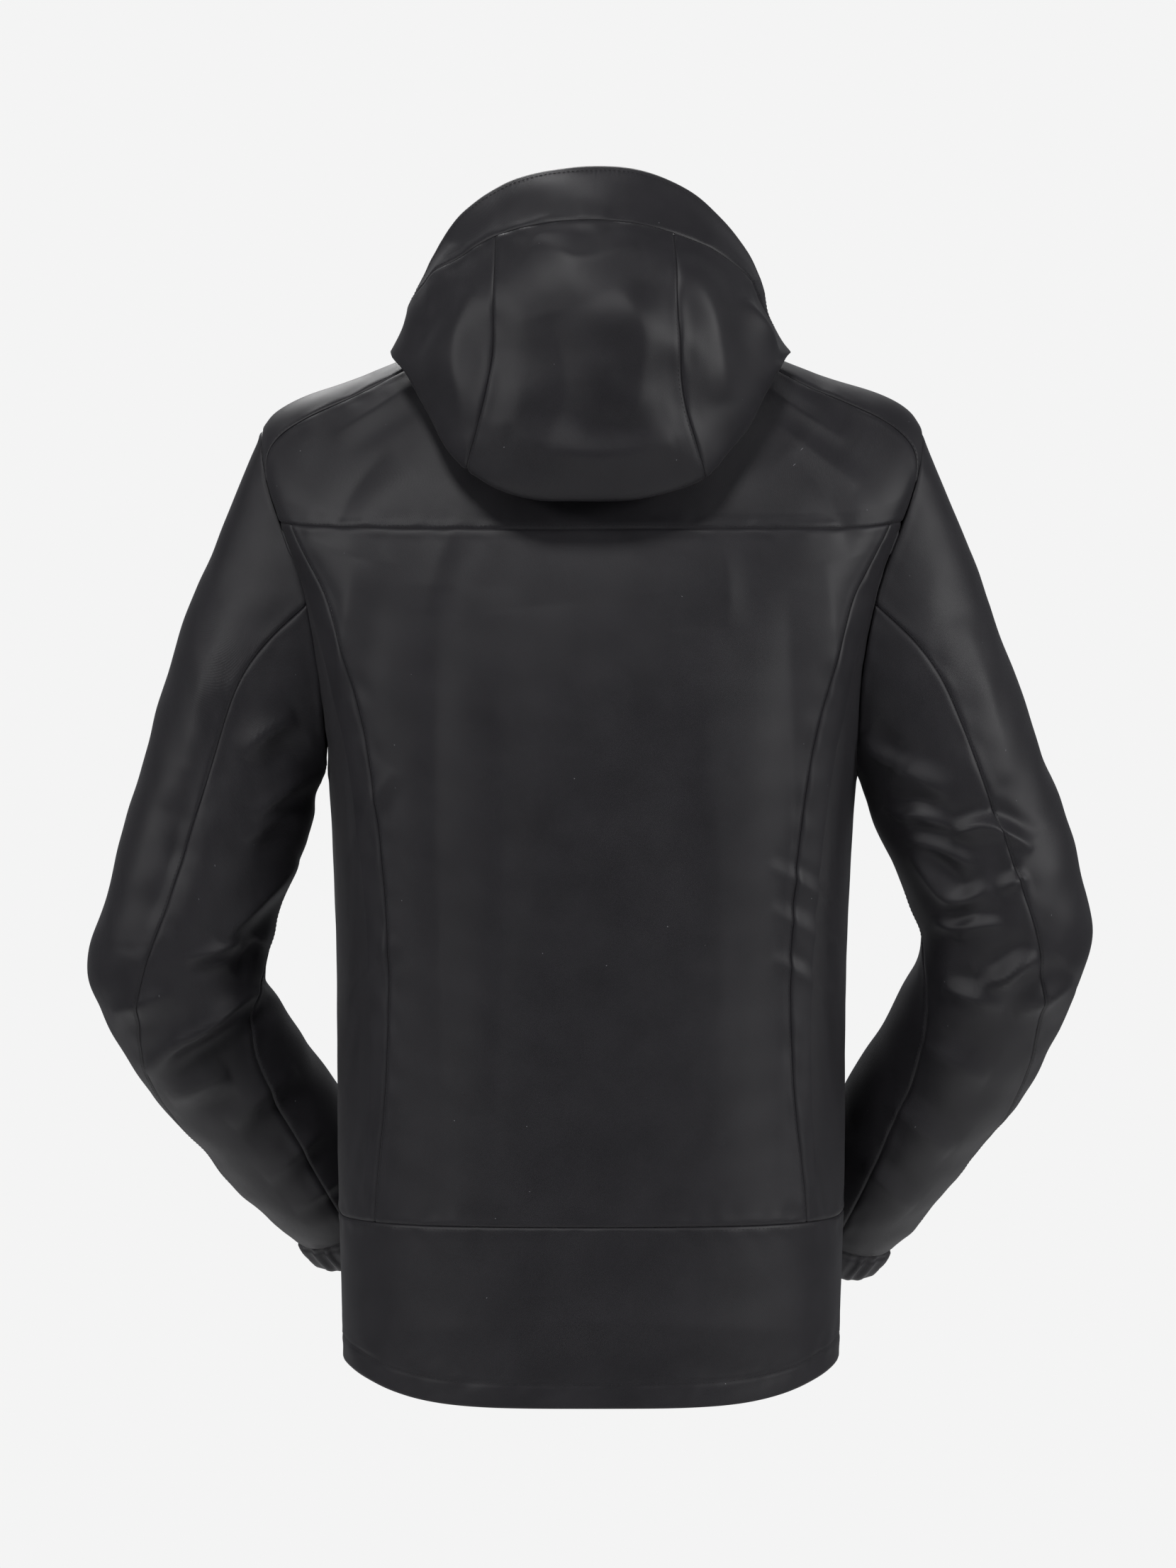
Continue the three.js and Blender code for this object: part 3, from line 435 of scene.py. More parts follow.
# Each hoop: half width, y and z of its ends, reach, rise, and how full it is wide, high and deep.
HOOD = np.array(
    [
        (131, 4, 6, 84, 126, 2.1, 2.1, 2.1),
        (134, 4, 6, 124, 84, 2.05, 2.05, 2.16),
        (139, 5, 5, 154, 32, 2.0, 2.0, 2.35),
        (144, 7, 3, 153, -42, 2.1, 1.5, 2.5),
        (139, 10, 5, 130, -115, 3.0, 1.15, 2.4),
    ]
)
HOOD_BASE = len(HOOD)
HOOD_FOOT, HOOD_CLEAR = 125.1, 2.2  # half width of the last hoop, and its height over the shoulders


def hood(turn, level):
    turn, level = np.broadcast_arrays(np.asarray(turn, float), np.asarray(level, float))
    c, s = np.cos(np.radians(turn)), np.sin(np.radians(turn))
    hoops = [
        np.stack(
            [
                half * power(c, 2 / wide),
                y + reach * power(s, 2 / deep),
                z + rise * power(s, 2 / high),
            ],
            -1,
        )
        for half, y, z, reach, rise, wide, high, deep in HOOD
    ]
    low = 0.66 + np.abs(s) ** 1.6
    side, square = np.moveaxis(spline(TORSO[:, [0, 5]], low), -1, 0)
    place = np.degrees(np.arccos(power(HOOD_FOOT * power(c, 2 / HOOD[-1, 5]) / side, square / 2))), low
    hoops.append(torso(*place) + HOOD_CLEAR * normals(torso, *place))
    flat = np.stack(hoops).reshape(len(hoops), -1, 3)
    return ring_by_ring(flat, level, HOOD_BASE).reshape(level.shape + (3,))


def normals(surface, turn, level, sign=1):
    """Which way a surface faces, from short steps along it."""
    step = 0.02
    across = surface(turn + step, level) - surface(turn - step, level)
    down = surface(turn, level + step) - surface(turn, level - step)
    facing = np.cross(down, across) * sign
    return facing / np.maximum(np.linalg.norm(facing, axis=-1, keepdims=True), 1e-9)


check = [np.round(torso(90.0, level), 1).tolist() for level in (0, 3, HEM_LEVEL)]
print("torso's back at the neck, the shoulder blades and the hem:", check)

# %% [markdown]
# ## Folds
# Worn cloth isn't smooth. A fold is a soft ridge with a hollow beside it that fades out at both ends,
# so each one is a short path on the garment, with a height and a width. Slow ripples fill the ground
# between them, and every seam draws the cloth in and puckers it. The paths follow where an arm bends
# and where a hood pulls. A simulation finds such folds too, but not in chosen places.


# %% One fold, and the ripples between folds
def fold(points, path, height, width, lip=0.55):
    """How far one fold lifts the cloth at each point, in the plane of the path."""
    steps = np.linspace(0, len(path) - 1, 6 * (len(path) - 1) + 1)
    path = spline(path, steps)
    lengths = np.concatenate([[0], np.cumsum(np.linalg.norm(np.diff(path, axis=0), axis=1))])
    reach = 4 * width
    low, high = path.min(0) - reach, path.max(0) + reach
    lifted = np.zeros(points.shape[:-1])
    near = np.all((points > low) & (points < high), axis=-1)
    here = points[near]
    if not len(here):
        return lifted
    best, signed, along = np.full(len(here), 1e9), np.zeros(len(here)), np.zeros(len(here))
    for a, b, start in zip(path[:-1], path[1:], lengths[:-1]):
        step = b - a
        length = np.linalg.norm(step)
        t = np.clip((here - a) @ step / length**2, 0, 1)
        away = here - a - t[:, None] * step
        distance = np.linalg.norm(away, axis=1)
        side = np.sign(step[0] * away[:, 1] - step[1] * away[:, 0])
        closer = distance < best
        best = np.where(closer, distance, best)
        signed = np.where(closer, side * distance, signed)
        along = np.where(closer, (start + t * length) / lengths[-1], along)
    taper = np.sin(np.pi * along) ** 0.7
    crest = np.sqrt((signed / width) ** 2 + 0.05) - 0.22
    ridge = np.exp(-1.25 * crest) - lip * np.exp(-((signed / width + 1.7) ** 2)) - 0.02
    lifted[near] = height * taper * ridge
    return lifted


def ripples(points, size, seed, stretch=(1, 1, 1)):
    """Slow waves of about the given size that run through space, between -1 and 1."""
    random = np.random.default_rng(seed)
    total = 0
    for _ in range(7):
        way = random.normal(size=3) * stretch
        way *= 2 * math.pi / (size * random.uniform(0.7, 1.6) * np.linalg.norm(way))
        total = total + np.sin(points @ way + random.uniform(0, 6.3))
    return total / 3.2


def folds_on(points, paths):
    """All the folds of a list, in the plane of the garment's back."""
    flat = points[..., [0, 2]]
    return sum(fold(flat, np.array(path, float), height, width) for path, height, width in paths)


# %% Where the folds are
# Each fold: its path in x and z, how high it stands, how wide it is.
BACK_FOLDS = [
    ([(110, -170), (112, -300), (108, -450), (106, -615)], -3.0, 20),
    ([(37, -185), (12, -400), (-21, -615)], 2.6, 46),
    ([(66, -190), (64, -400), (70, -610)], -1.6, 15),
    ([(-140, -170), (-146, -320), (-143, -480), (-138, -620)], -2.4, 15),
    ([(-70, -200), (-92, -400), (-84, -610)], 1.5, 26),
    ([(-126, -368), (-150, -380), (-174, -398)], 1.2, 5),
    ([(-128, -398), (-152, -412), (-176, -430)], 1.3, 6),
    ([(-130, -434), (-152, -446), (-174, -466)], 1.1, 5),
    ([(140, -300), (160, -330), (176, -372)], 1.2, 7),
    ([(138, -420), (158, -440), (178, -470)], 1.0, 7),
    ([(-160, -700), (0, -694), (160, -702)], 1.2, 16),
    ([(-122, -24), (-150, -44), (-182, -64)], 2.0, 8),
    ([(-132, -52), (-160, -74), (-190, -98)], 1.4, 8),
    ([(124, -20), (152, -40), (186, -60)], 1.4, 8),
    ([(146, -70), (170, -100), (188, -140)], -1.8, 12),
    ([(-146, -72), (-170, -104), (-186, -148)], -1.8, 12),
    ([(168, -150), (176, -210), (182, -280)], 1.8, 12),
    ([(-168, -150), (-174, -214), (-180, -284)], 1.8, 12),
    ([(90, -118), (108, -150), (116, -190)], 1.0, 9),
    ([(-84, -120), (-96, -160), (-98, -200)], 1.0, 9),
]
FRONT_FOLDS = [
    ([(150, -90), (110, -170), (70, -260)], 2.4, 16),
    ([(-150, -90), (-112, -176), (-66, -270)], 2.2, 16),
    ([(172, -150), (150, -240), (120, -330)], 1.8, 13),
    ([(-172, -150), (-148, -236), (-124, -320)], 1.8, 13),
    ([(60, -330), (70, -480), (56, -640)], -2.0, 20),
    ([(-62, -350), (-74, -500), (-60, -650)], -2.0, 20),
    ([(26, -180), (60, -210), (96, -220)], 1.2, 9),
    ([(-26, -196), (-56, -222), (-92, -236)], 1.2, 9),
    ([(140, -440), (150, -560), (144, -690)], 1.5, 16),
    ([(-140, -440), (-152, -560), (-146, -690)], 1.5, 16),
    ([(30, -690), (90, -700), (150, -696)], 1.2, 12),
    ([(-30, -700), (-90, -708), (-150, -700)], 1.2, 12),
]
ARM_FOLDS = {
    "left": [
        ([(238, -458), (260, -472), (281, -487), (300, -498), (322, -519)], 6.5, 8),
        ([(212, -366), (236, -392), (266, -424)], 3.6, 8),
        ([(250, -424), (268, -430), (292, -437)], 3.2, 6),
        ([(238, -424), (246, -436), (256, -450)], -3.0, 6),
        ([(212, -262), (230, -272), (252, -292)], 3.2, 9),
        ([(206, -300), (222, -316), (246, -336)], 3.4, 8),
        ([(208, -330), (226, -336), (250, -352)], 2.6, 7),
        ([(292, -300), (304, -370), (330, -436)], -2.6, 14),
        ([(262, -180), (280, -250), (300, -330)], 2.0, 16),
        ([(300, -460), (326, -470), (348, -476)], 2.6, 8),
        ([(262, -520), (284, -530), (306, -540)], 3.0, 9),
        ([(214, -520), (236, -536), (262, -560)], 2.8, 9),
        ([(196, -562), (214, -580), (238, -600)], 2.2, 8),
        ([(180, -600), (196, -608), (218, -622)], 1.8, 6),
    ],
    "right": [
        ([(-210, -326), (-224, -333), (-237, -333), (-260, -343)], 3.4, 6),
        ([(-226, -350), (-249, -356), (-274, -370)], 3.4, 6),
        ([(-230, -358), (-244, -376), (-257, -392), (-270, -394), (-288, -384)], 4.6, 7),
        ([(-247, -409), (-260, -414), (-272, -411), (-284, -403)], 3.2, 6),
        ([(-263, -422), (-277, -414), (-297, -411)], 2.8, 5),
        ([(-256, -353), (-268, -345), (-281, -341), (-295, -345), (-318, -358)], 4.2, 7),
        ([(-292, -388), (-302, -382), (-314, -377)], 2.6, 6),
        ([(-277, -456), (-295, -452), (-310, -441), (-322, -434)], 6.0, 8),
        ([(-254, -457), (-277, -464), (-298, -470)], 4.0, 7),
        ([(-306, -476), (-328, -466), (-350, -453)], 4.0, 9),
        ([(-194, -276), (-208, -290), (-226, -300)], 3.2, 7),
        ([(-216, -300), (-236, -306), (-256, -318)], 2.4, 8),
        ([(-268, -190), (-286, -250), (-300, -310)], 2.0, 16),
        ([(-238, -500), (-262, -512), (-288, -524)], 3.2, 10),
        ([(-214, -544), (-238, -560), (-262, -580)], 2.8, 9),
        ([(-198, -590), (-216, -604), (-236, -622)], 2.2, 8),
    ],
}
HOOD_FOLDS = [
    ([(136, 60), (128, 30), (140, -4), (132, -40)], 3.0, 8),
    ([(100, 78), (112, 50), (118, 16)], 2.2, 8),
    ([(-112, 36), (-124, 16), (-138, -4)], 4.0, 7),
    ([(-118, 50), (-132, 22), (-136, -10)], -3.0, 7),
    ([(-62, 60), (-84, 20), (-96, -40)], 2.4, 14),
    ([(84, 40), (96, -4), (88, -60)], 2.4, 14),
    ([(40, 76), (10, 60), (-34, 70)], 1.8, 14),
    ([(-20, 40), (-36, 0), (-30, -60)], 2.0, 16),
    ([(30, 20), (20, -30), (34, -80)], -1.8, 16),
    ([(56, -66), (0, -78), (-58, -70)], 2.2, 12),
]


# %% What each part of the garment adds to its surface
def torso_relief(points, facing):
    back = smooth(-0.1, 0.4, facing[..., 1])
    front = smooth(-0.1, 0.4, -facing[..., 1])
    lift = 1.25 * back * folds_on(points, BACK_FOLDS) + 1.2 * front * folds_on(points, FRONT_FOLDS)
    return lift + 1.2 * ripples(points, 120, 3, (1, 1, 0.4)) + 0.2 * ripples(points, 38, 5)


def arm_relief(side):
    def relief(points, facing):
        back = smooth(-0.5, 0.3, facing[..., 1])
        lift = 1.6 * folds_on(points, ARM_FOLDS[side]) * (0.35 + 0.65 * back)
        calm = smooth(-60, -200, points[..., 2])
        return lift + calm * (1.6 * ripples(points, 80, 11) + 0.4 * ripples(points, 34, 12))

    return relief


def hood_relief(points, facing):
    back = smooth(-0.2, 0.4, facing[..., 1])
    lift = 1.9 * back * folds_on(points, HOOD_FOLDS)
    return lift + 1.6 * ripples(points, 70, 21) + 0.25 * ripples(points, 30, 22)


def plain_relief(points, facing):
    return 0.25 * ripples(points, 60, 31)


print("folds:", len(BACK_FOLDS), "behind,", len(FRONT_FOLDS), "in front,", len(HOOD_FOLDS), "on the hood")

# %% [markdown]
# ## From a place on the surface to a sewn panel
# A panel is filled in between its four edges, so panels that share a seam share its line. Near each
# edge the rows stand closer together, because a seam is a narrow thing: the cloth dives into the
# stitch line within 2 mm, stands a little proud over the folded allowance behind it, and puckers.


# %% Panel maker
panels = {}


def shares(length, spacing=3.2):
    """Shares from 0 to 1 that crowd together at both ends."""
    near = np.array([0, 0.7, 1.5, 2.6, 4.2, 6.4]) / max(length, 26)
    count = max(int((length - 13) / spacing), 2)
    return np.concatenate([near[:-1], np.linspace(near[-1], 1 - near[-1], count), 1 - near[-2::-1]])


def read(edge, share):
    k = share * (len(edge) - 1)
    return np.stack([np.interp(k, np.arange(len(edge)), edge[:, c]) for c in (0, 1)], -1)


def span(surface, edge):
    return np.linalg.norm(np.diff(surface(edge[:, 0], edge[:, 1]), axis=0), axis=1).sum()


def middle_span(surface, start, end):
    """How far it is between the middles of two edges, along the surface."""
    share = np.linspace(0, 1, 33)[:, None]
    middle = np.array([0.5])
    return span(surface, read(start, middle) * (1 - share) + read(end, middle) * share)


def panel(name, surface, top, bottom, left, right, relief, mirror=False, sign=1, sewn="tblr",
          lift=0.0, spacing=2.6, hem=None):
    """Lays out one panel and returns its points, facing, lengths along it and flat size."""
    wide = max(middle_span(surface, left, right), (span(surface, top) + span(surface, bottom)) / 2)
    tall = max(middle_span(surface, top, bottom), (span(surface, left) + span(surface, right)) / 2)
    u, v = shares(wide, spacing), shares(tall, spacing)
    t, b, l, r = read(top, u), read(bottom, u), read(left, v), read(right, v)
    U, V = u[None, :, None], v[:, None, None]
    corners = (1 - U) * (1 - V) * t[0] + U * (1 - V) * t[-1] + (1 - U) * V * b[0] + U * V * b[-1]
    places = (1 - V) * t + V * b + (1 - U) * l[:, None] + U * r[:, None] - corners
    if mirror:
        places = places[:, ::-1].copy()
        places[..., 0] = 180 - places[..., 0]
        sewn = sewn.translate(str.maketrans("lr", "rl"))
    if sign < 0:
        places = places[:, ::-1]
        sewn = sewn.translate(str.maketrans("lr", "rl"))
    points = surface(places[..., 0], places[..., 1])
    facing = normals(surface, places[..., 0], places[..., 1], sign)
    across = np.linalg.norm(np.diff(points, axis=1, prepend=points[:, :1]), axis=-1).cumsum(1)
    down = np.linalg.norm(np.diff(points, axis=0, prepend=points[:1]), axis=-1).cumsum(0)
    away = {"l": across, "r": across[:, -1:] - across, "t": down, "b": down[-1:] - down}
    height = relief(points, facing) + lift
    for k, edge in enumerate("tblr"):
        if edge in sewn:
            d = away[edge]
            near_seam = np.exp(-((d / 11) ** 1.5)) * (1 - np.exp(-((d / 3) ** 2)))
            pucker = ripples(points, 16, 41 + k) * near_seam
            height = height - 0.75 * np.exp(-((d / 1.0) ** 2)) + 0.25 * np.exp(-(((d - 4) / 2.6) ** 2))
            height = height + 0.45 * pucker
        else:
            height = height - 0.5 * np.exp(-((away[edge] / 0.9) ** 2))
    if hem:
        pressed = np.exp(-(((away["b"] - hem) / 1.1) ** 2))
        puckered = np.exp(-((away["b"] - hem) / 12) ** 2)
        height = height - 0.6 * pressed + 0.4 * ripples(points, 17, 47) * puckered
    area = cell_area(points)
    made = {
        "points": points + facing * height[..., None],
        "facing": facing,
        "uv": np.stack([across, down], -1) * MM,
        "flat": (float(across[:, -1].max()) * MM, float(down[-1].max()) * MM),
        "area": area * MM * MM,
        "away": away,
    }
    panels[name] = made
    return made


def cell_area(points):
    a = np.cross(points[1:, 1:] - points[:-1, :-1], points[1:, :-1] - points[:-1, 1:])
    return float(np.linalg.norm(a, axis=-1).sum() / 2)


def cloth(name, made, finish, thickness=1.0, closed=False):
    """Turns a laid-out panel into a sheet of real thickness."""
    points, uv = made["points"] * MM, made["uv"]
    rows, columns = points.shape[:2]
    index = np.arange(rows * columns).reshape(rows, columns)
    faces = np.stack([index[:-1, :-1], index[1:, :-1], index[1:, 1:], index[:-1, 1:]], -1).reshape(-1, 4)
    mesh = bpy.data.meshes.new(name)
    mesh.from_pydata(points.reshape(-1, 3).tolist(), [], faces.tolist())
    layer = mesh.uv_layers.new(name="cut")
    layer.data.foreach_set("uv", uv.reshape(-1, 2)[faces.reshape(-1)].astype(np.float32).ravel())
    mesh.polygons.foreach_set("use_smooth", np.ones(len(faces), bool))
    obj = bpy.data.objects.new(name, mesh)
    scene.collection.objects.link(obj)
    mesh.materials.append(finish)
    bpy.ops.object.select_all(action="DESELECT")
    obj.select_set(True)
    bpy.context.view_layer.objects.active = obj
    if closed:
        bpy.ops.object.mode_set(mode="EDIT")
        bpy.ops.mesh.select_all(action="SELECT")
        bpy.ops.mesh.remove_doubles(threshold=0.00001)
        bpy.ops.object.mode_set(mode="OBJECT")
    thick = obj.modifiers.new("thickness", "SOLIDIFY")
    thick.thickness, thick.offset = thickness * MM, -1
    bpy.ops.object.modifier_apply(modifier=thick.name)
    return obj


def declare(obj, made, node, body, joint=None):
    """Hides the frame's part that a sheet stands for; a sheet with a joint has its place baked into its mesh,
    any other is parented to its body's empty.
    """
    wide, tall = made["flat"]
    area = min(made["area"], wide * tall)
    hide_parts(node)
    max(area, 0.301 * wide * tall)
    if joint:
        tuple(joint[0])
        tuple(joint[1])
        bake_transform(obj)
    else:
        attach(obj, body)
    return obj


# %% [markdown]
# ## Seams of the body
# The back has a yoke across the shoulders, a middle panel between two curved side seams, and a
# shaped tail that comes round under the arms. The side panels carry the cloth to the front. These
# lines are drawn on the torso first, since each one belongs to two panels.

# %% Seam lines on the torso
YOKE_CORNER, FRONT_CORNER, SHOULDER = 60, 240, 45  # places round the armhole, in degrees
yoke_end = armhole(YOKE_CORNER)
yoke_end_z = torso(*yoke_end)[2]
back_start = yoke_end[0] + (180 - 2 * yoke_end[0]) / 12


def yoke_line(turn):
    share = np.abs(np.cos(np.radians(turn)) / math.cos(math.radians(yoke_end[0]))) ** 4
    return np.stack([turn, level_at(turn, -129 + (yoke_end_z + 129) * share)], -1)


def tail_line(turn):
    return np.stack([turn, level_at(turn, -625 + 22 * (np.abs(turn - 90) / 124) ** 4)], -1)


def back_line(share):
    start, end = yoke_line(np.array([back_start]))[0, 1], tail_line(np.array([34.0]))[0, 1]
    turns = spline([back_start, 36, 39, 41.5, 42.5, 40, 34], share * 6)
    return np.stack([turns, start + (end - start) * share], -1)


front_start = armhole(FRONT_CORNER)
tail_end = tail_line(np.array([-34.0]))[0, 1]


def front_line(level):
    share = np.minimum((level - front_start[1]) / (tail_end - front_start[1]), 1)
    return np.stack([front_start[0] + (-34 - front_start[0]) * share, level], -1)


def shoulder_line(face):
    end = armhole(face * SHOULDER)
    return lambda share: np.stack([face * 24 + (end[0] - face * 24) * share, end[1] * share], -1)


def at_level(level):
    return lambda turn: np.stack([turn, np.full(np.shape(turn), float(level))], -1)


neck_back = sweep(at_level(0), 24, 156, 12)
neck_side = sweep(at_level(0), -24, 24, 6)
neck_front = sweep(at_level(0), float(front_turn(ZIP_HALF, 0)), -24, 4)
shoulder_back, shoulder_front = sweep(shoulder_line(1), 0, 1, 4), sweep(shoulder_line(-1), 0, 1, 4)
back_seam, front_seam = sweep(back_line, 0, 1, 9), sweep(front_line, front_start[1], tail_end, 9)
tail_side = sweep(front_line, tail_end, HEM_LEVEL, 3)
yoke_bottom = sweep(yoke_line, yoke_end[0], 180 - yoke_end[0], 12)
yoke_left = chain(shoulder_back, sweep(armhole, SHOULDER, YOKE_CORNER, 1))
tail_middle = sweep(tail_line, 34, 146, 10)
tail_flank = sweep(tail_line, -34, 34, 5)
tail_top = chain(tail_flank, tail_middle, mirrored(tail_flank)[::-1])
side_top = chain(sweep(armhole, FRONT_CORNER, YOKE_CORNER, 12), sweep(yoke_line, yoke_end[0], back_start, 1))
front_top = chain(neck_front, shoulder_front)
front_side = chain(sweep(armhole, 315, FRONT_CORNER, 5), front_seam, tail_side)
front_edge = sweep(
    lambda level: np.stack([front_turn(ZIP_HALF, level), level], -1), 0, HEM_LEVEL, 17
)
front_hem = sweep(at_level(HEM_LEVEL), float(front_turn(ZIP_HALF, HEM_LEVEL)), -34, 8)
print("tail seam", round(span(torso, tail_top)), "mm, one side seam", round(span(torso, back_seam)), "mm")

# %% Cut the body's panels
tail_foot = at_level(HEM_LEVEL)(tail_top[:, 0])
armhole_top = sweep(armhole, -SHOULDER, SHOULDER, 6)
BODY = {
    "back_yoke": (neck_back, yoke_bottom, yoke_left, mirrored(yoke_left), "tblr"),
    "back_panel": (yoke_bottom[FINE:-FINE], tail_middle, back_seam, mirrored(back_seam), "tblr"),
    "lower_back_panel": (tail_top, tail_foot, tail_side, mirrored(tail_side), "tlr"),
}
PAIRS = {
    "side_panel": (side_top, sweep(tail_line, -34, 34, 13), front_seam, back_seam, "tblr"),
    "shoulder_panel": (neck_side, armhole_top, shoulder_front, shoulder_back, "tblr"),
    "front_panel": (front_top, front_hem, front_edge, front_side, "tr"),
}
for name, (top, bottom, left, right, sewn) in BODY.items():
    hem = None if "b" in sewn else HEM_FOLD
    made = panel(name, torso, top, bottom, left, right, torso_relief, sewn=sewn, hem=hem)
    declare(cloth(f"{name}_cloth", made, shell_cloth), made, name, "shell")
for pair, (top, bottom, left, right, sewn) in PAIRS.items():
    for side in ("left", "right"):
        name, hem = f"{pair}_{side}", None if "b" in sewn else HEM_FOLD
        made = panel(name, torso, top, bottom, left, right, torso_relief, side == "right", sewn=sewn, hem=hem)
        declare(cloth(f"{name}_cloth", made, shell_cloth), made, name, "shell")
print("body panels:", len(panels), "area", round(sum(p["area"] for p in panels.values()), 3), "m2")

# %% [markdown]
# ## Sleeves
# A shaped sleeve has two panels, a wide one over the arm and a narrow one under it. Their seams turn
# from the back of the upper arm to the outer side of the forearm, so that the elbow can bend.

# %% Two panels for each arm
back_rounds = [90, 80, 77, 76, 68, 40, 24, 19, 18]
under_rounds = [195, 190, 186, 182, 168, 132, 114, 108, 107]


def seam_rounds(rounds):
    return lambda level: np.stack([spline(rounds, level), level], -1)


def shoulder_reach(sign):
    """Two points where the shoulder's bend starts and ends."""
    return [(sign * 0.216, 0, -0.214), (sign * 0.2745, 0, -0.2423)]


for side in ("left", "right"):
    surface, sign, body = sleeve(side), SIGN[side], f"sleeve_{side}"
    back = sweep(seam_rounds(back_rounds), 0, CUFF, 16)
    under = sweep(seam_rounds(under_rounds), 0, CUFF, 16)
    front = under - (360, 0)
    for name, top, bottom, left, right in (
        ("top_sleeve", (-165, 90), (107 - 360, 18), front, back),
        ("under_sleeve", (90, 195), (18, 107), back, under),
    ):
        made = panel(
            f"{name}_{side}",
            surface,
            sweep(at_level(0), *top, 17),
            sweep(at_level(CUFF), *bottom, 17),
            left,
            right,
            arm_relief(side),
            sign=sign,
        )
        obj = cloth(f"{name}_{side}_cloth", made, shell_cloth)
        declare(obj, made, f"{name}_{side}", body, joint=shoulder_reach(sign))
print("sleeve panels:", [n for n in panels if "sleeve" in n])

# %% [markdown]
# ## Cuffs
# The sleeve ends in a casing gathered on an elastic. The pleats are many and narrow, deepest in the
# middle of the casing, and none is quite like the next, so their spacing wanders a little.

# %% Gathered cuffs and their elastics
def ring(name, surface, low, high, rows, columns, height, sign):
    """A closed band round a sleeve."""
    turns = np.linspace(0, 360, columns + 1)
    levels = np.linspace(low, high, rows)
    turn, level = np.meshgrid(turns, levels)
    if sign < 0:
        turn = turn[:, ::-1]
    points, facing = surface(turn, level), normals(surface, turn, level, sign)
    across = np.linalg.norm(np.diff(points, axis=1, prepend=points[:, :1]), axis=-1).cumsum(1)
    down = np.linalg.norm(np.diff(points, axis=0, prepend=points[:1]), axis=-1).cumsum(0)
    area = cell_area(points)
    made = {
        "points": points + facing * height(turn, (level - low) / (high - low))[..., None],
        "uv": np.stack([across, down], -1) * MM,
        "flat": (float(across[:, -1].max()) * MM, float(down[-1].max()) * MM),
        "area": area * MM * MM,
    }
    panels[name] = made
    return made


def pleats(turn, share):
    a = np.radians(turn)
    wander = a * 23 + 1.3 * np.sin(3 * a + 0.5) + 0.9 * np.sin(5 * a)
    swell = 4 * share * (1 - share)
    ends = 2.4 * np.exp(-((share / 0.13) ** 2)) + 1.0 * np.exp(-(((1 - share) / 0.06) ** 2))
    stitched = 1.0 * np.exp(-(((share - 0.22) / 0.05) ** 2))
    depth = 0.7 + 0.45 * np.sin(2 * a + 1) + 0.3 * np.sin(7 * a)
    return depth * (0.5 + swell) * np.sin(wander + 0.5 * np.sin(6 * share)) + 1.6 * swell - ends - stitched


for side in ("left", "right"):
    surface, sign, body = sleeve(side), SIGN[side], f"sleeve_{side}"
    made = ring(f"cuff_band_{side}", surface, CUFF - 0.1, CUFF + 0.999, 24, 360, pleats, sign)
    obj = cloth(f"cuff_band_{side}_cloth", made, shell_cloth, closed=True)
    declare(obj, made, f"cuff_band_{side}", body)
    made = ring(
        f"cuff_elastic_{side}", surface, CUFF + 0.25, CUFF + 0.9, 12, 180,
        lambda turn, share: -3.4 + 0.18 * np.sin(np.radians(turn) * 45), sign,
    )
    obj = cloth(f"cuff_elastic_{side}_band", made, tape_cloth, closed=True)
    declare(obj, made, f"cuff_elastic_{side}", body)

# %% [markdown]
# ## Collar and hood
# The collar stands behind the folded hood. The hood is three panels and a brim band; folded down, it
# hangs as a pouch whose top edge is the brim and whose floor lies on the shoulders.

# %% Collar, its lining and the chin guard
first_turn = float(front_turn(ZIP_HALF, 0))


def band(name, surface, turns, levels, relief, lift=0.0, sewn="tblr", spacing=2.6):
    """A panel between two turns and two levels."""
    return panel(
        name,
        surface,
        sweep(at_level(levels[0]), *turns, 12),
        sweep(at_level(levels[1]), *turns, 12),
        np.stack([np.full(33, turns[0]), np.linspace(*levels, 33)], -1),
        np.stack([np.full(33, turns[1]), np.linspace(*levels, 33)], -1),
        relief,
        lift=lift,
        sewn=sewn,
        spacing=spacing,
    )


def lining(name, made, body, joint=None):
    """A thinner sheet on the inside of another."""
    sheet = cloth(f"{name}_cloth", made, lining_cloth, 0.8)
    declare(sheet, made, name, body, joint)


made = band("collar_outer", collar, (first_turn, 180 - first_turn), (0, 1), plain_relief, sewn="b")
declare(cloth("collar_outer_cloth", made, shell_cloth), made, "collar_outer", "shell")
made = band(
    "collar_lining", collar, (first_turn, 180 - first_turn), (0.03, 0.97), plain_relief, lift=-2.0, spacing=5
)
lining("collar_lining", made, "shell")
chin_end = float(neck_front[2 * FINE, 0])
turns, levels = (-180 - first_turn, chin_end), (0.02, 0.62)
made = band("chin_guard", collar, turns, levels, plain_relief, lift=-3.4, sewn="")
lining("chin_guard", made, "shell")

# %% Hood panels
HOOD_SEAMS = (60.0, 116.0)
HOOD_END = 5.0
hood_reach = [(0, 0.004, 0.004), (0, 0.030, 0.030)]
for name, turns, levels, sewn in (
    ("hood_brim", (HOOD_END, 180 - HOOD_END), (0, 1), "b"),
    ("hood_side_left", (HOOD_END, HOOD_SEAMS[0]), (1, HOOD_BASE), "tr"),
    ("hood_center", HOOD_SEAMS, (1, HOOD_BASE), "tlr"),
    ("hood_side_right", (HOOD_SEAMS[1], 180 - HOOD_END), (1, HOOD_BASE), "tl"),
):
    made = band(name, hood, turns, levels, hood_relief, sewn=sewn, spacing=2.6)
    obj = cloth(f"{name}_cloth", made, shell_cloth)
    declare(obj, made, name, "hood", joint=hood_reach)
made = band("hood_brim_facing", hood, (14.0, 166.0), (0.06, 0.5), hood_relief, lift=-2.2, sewn="b")
lining("hood_brim_facing", made, "hood", hood_reach)

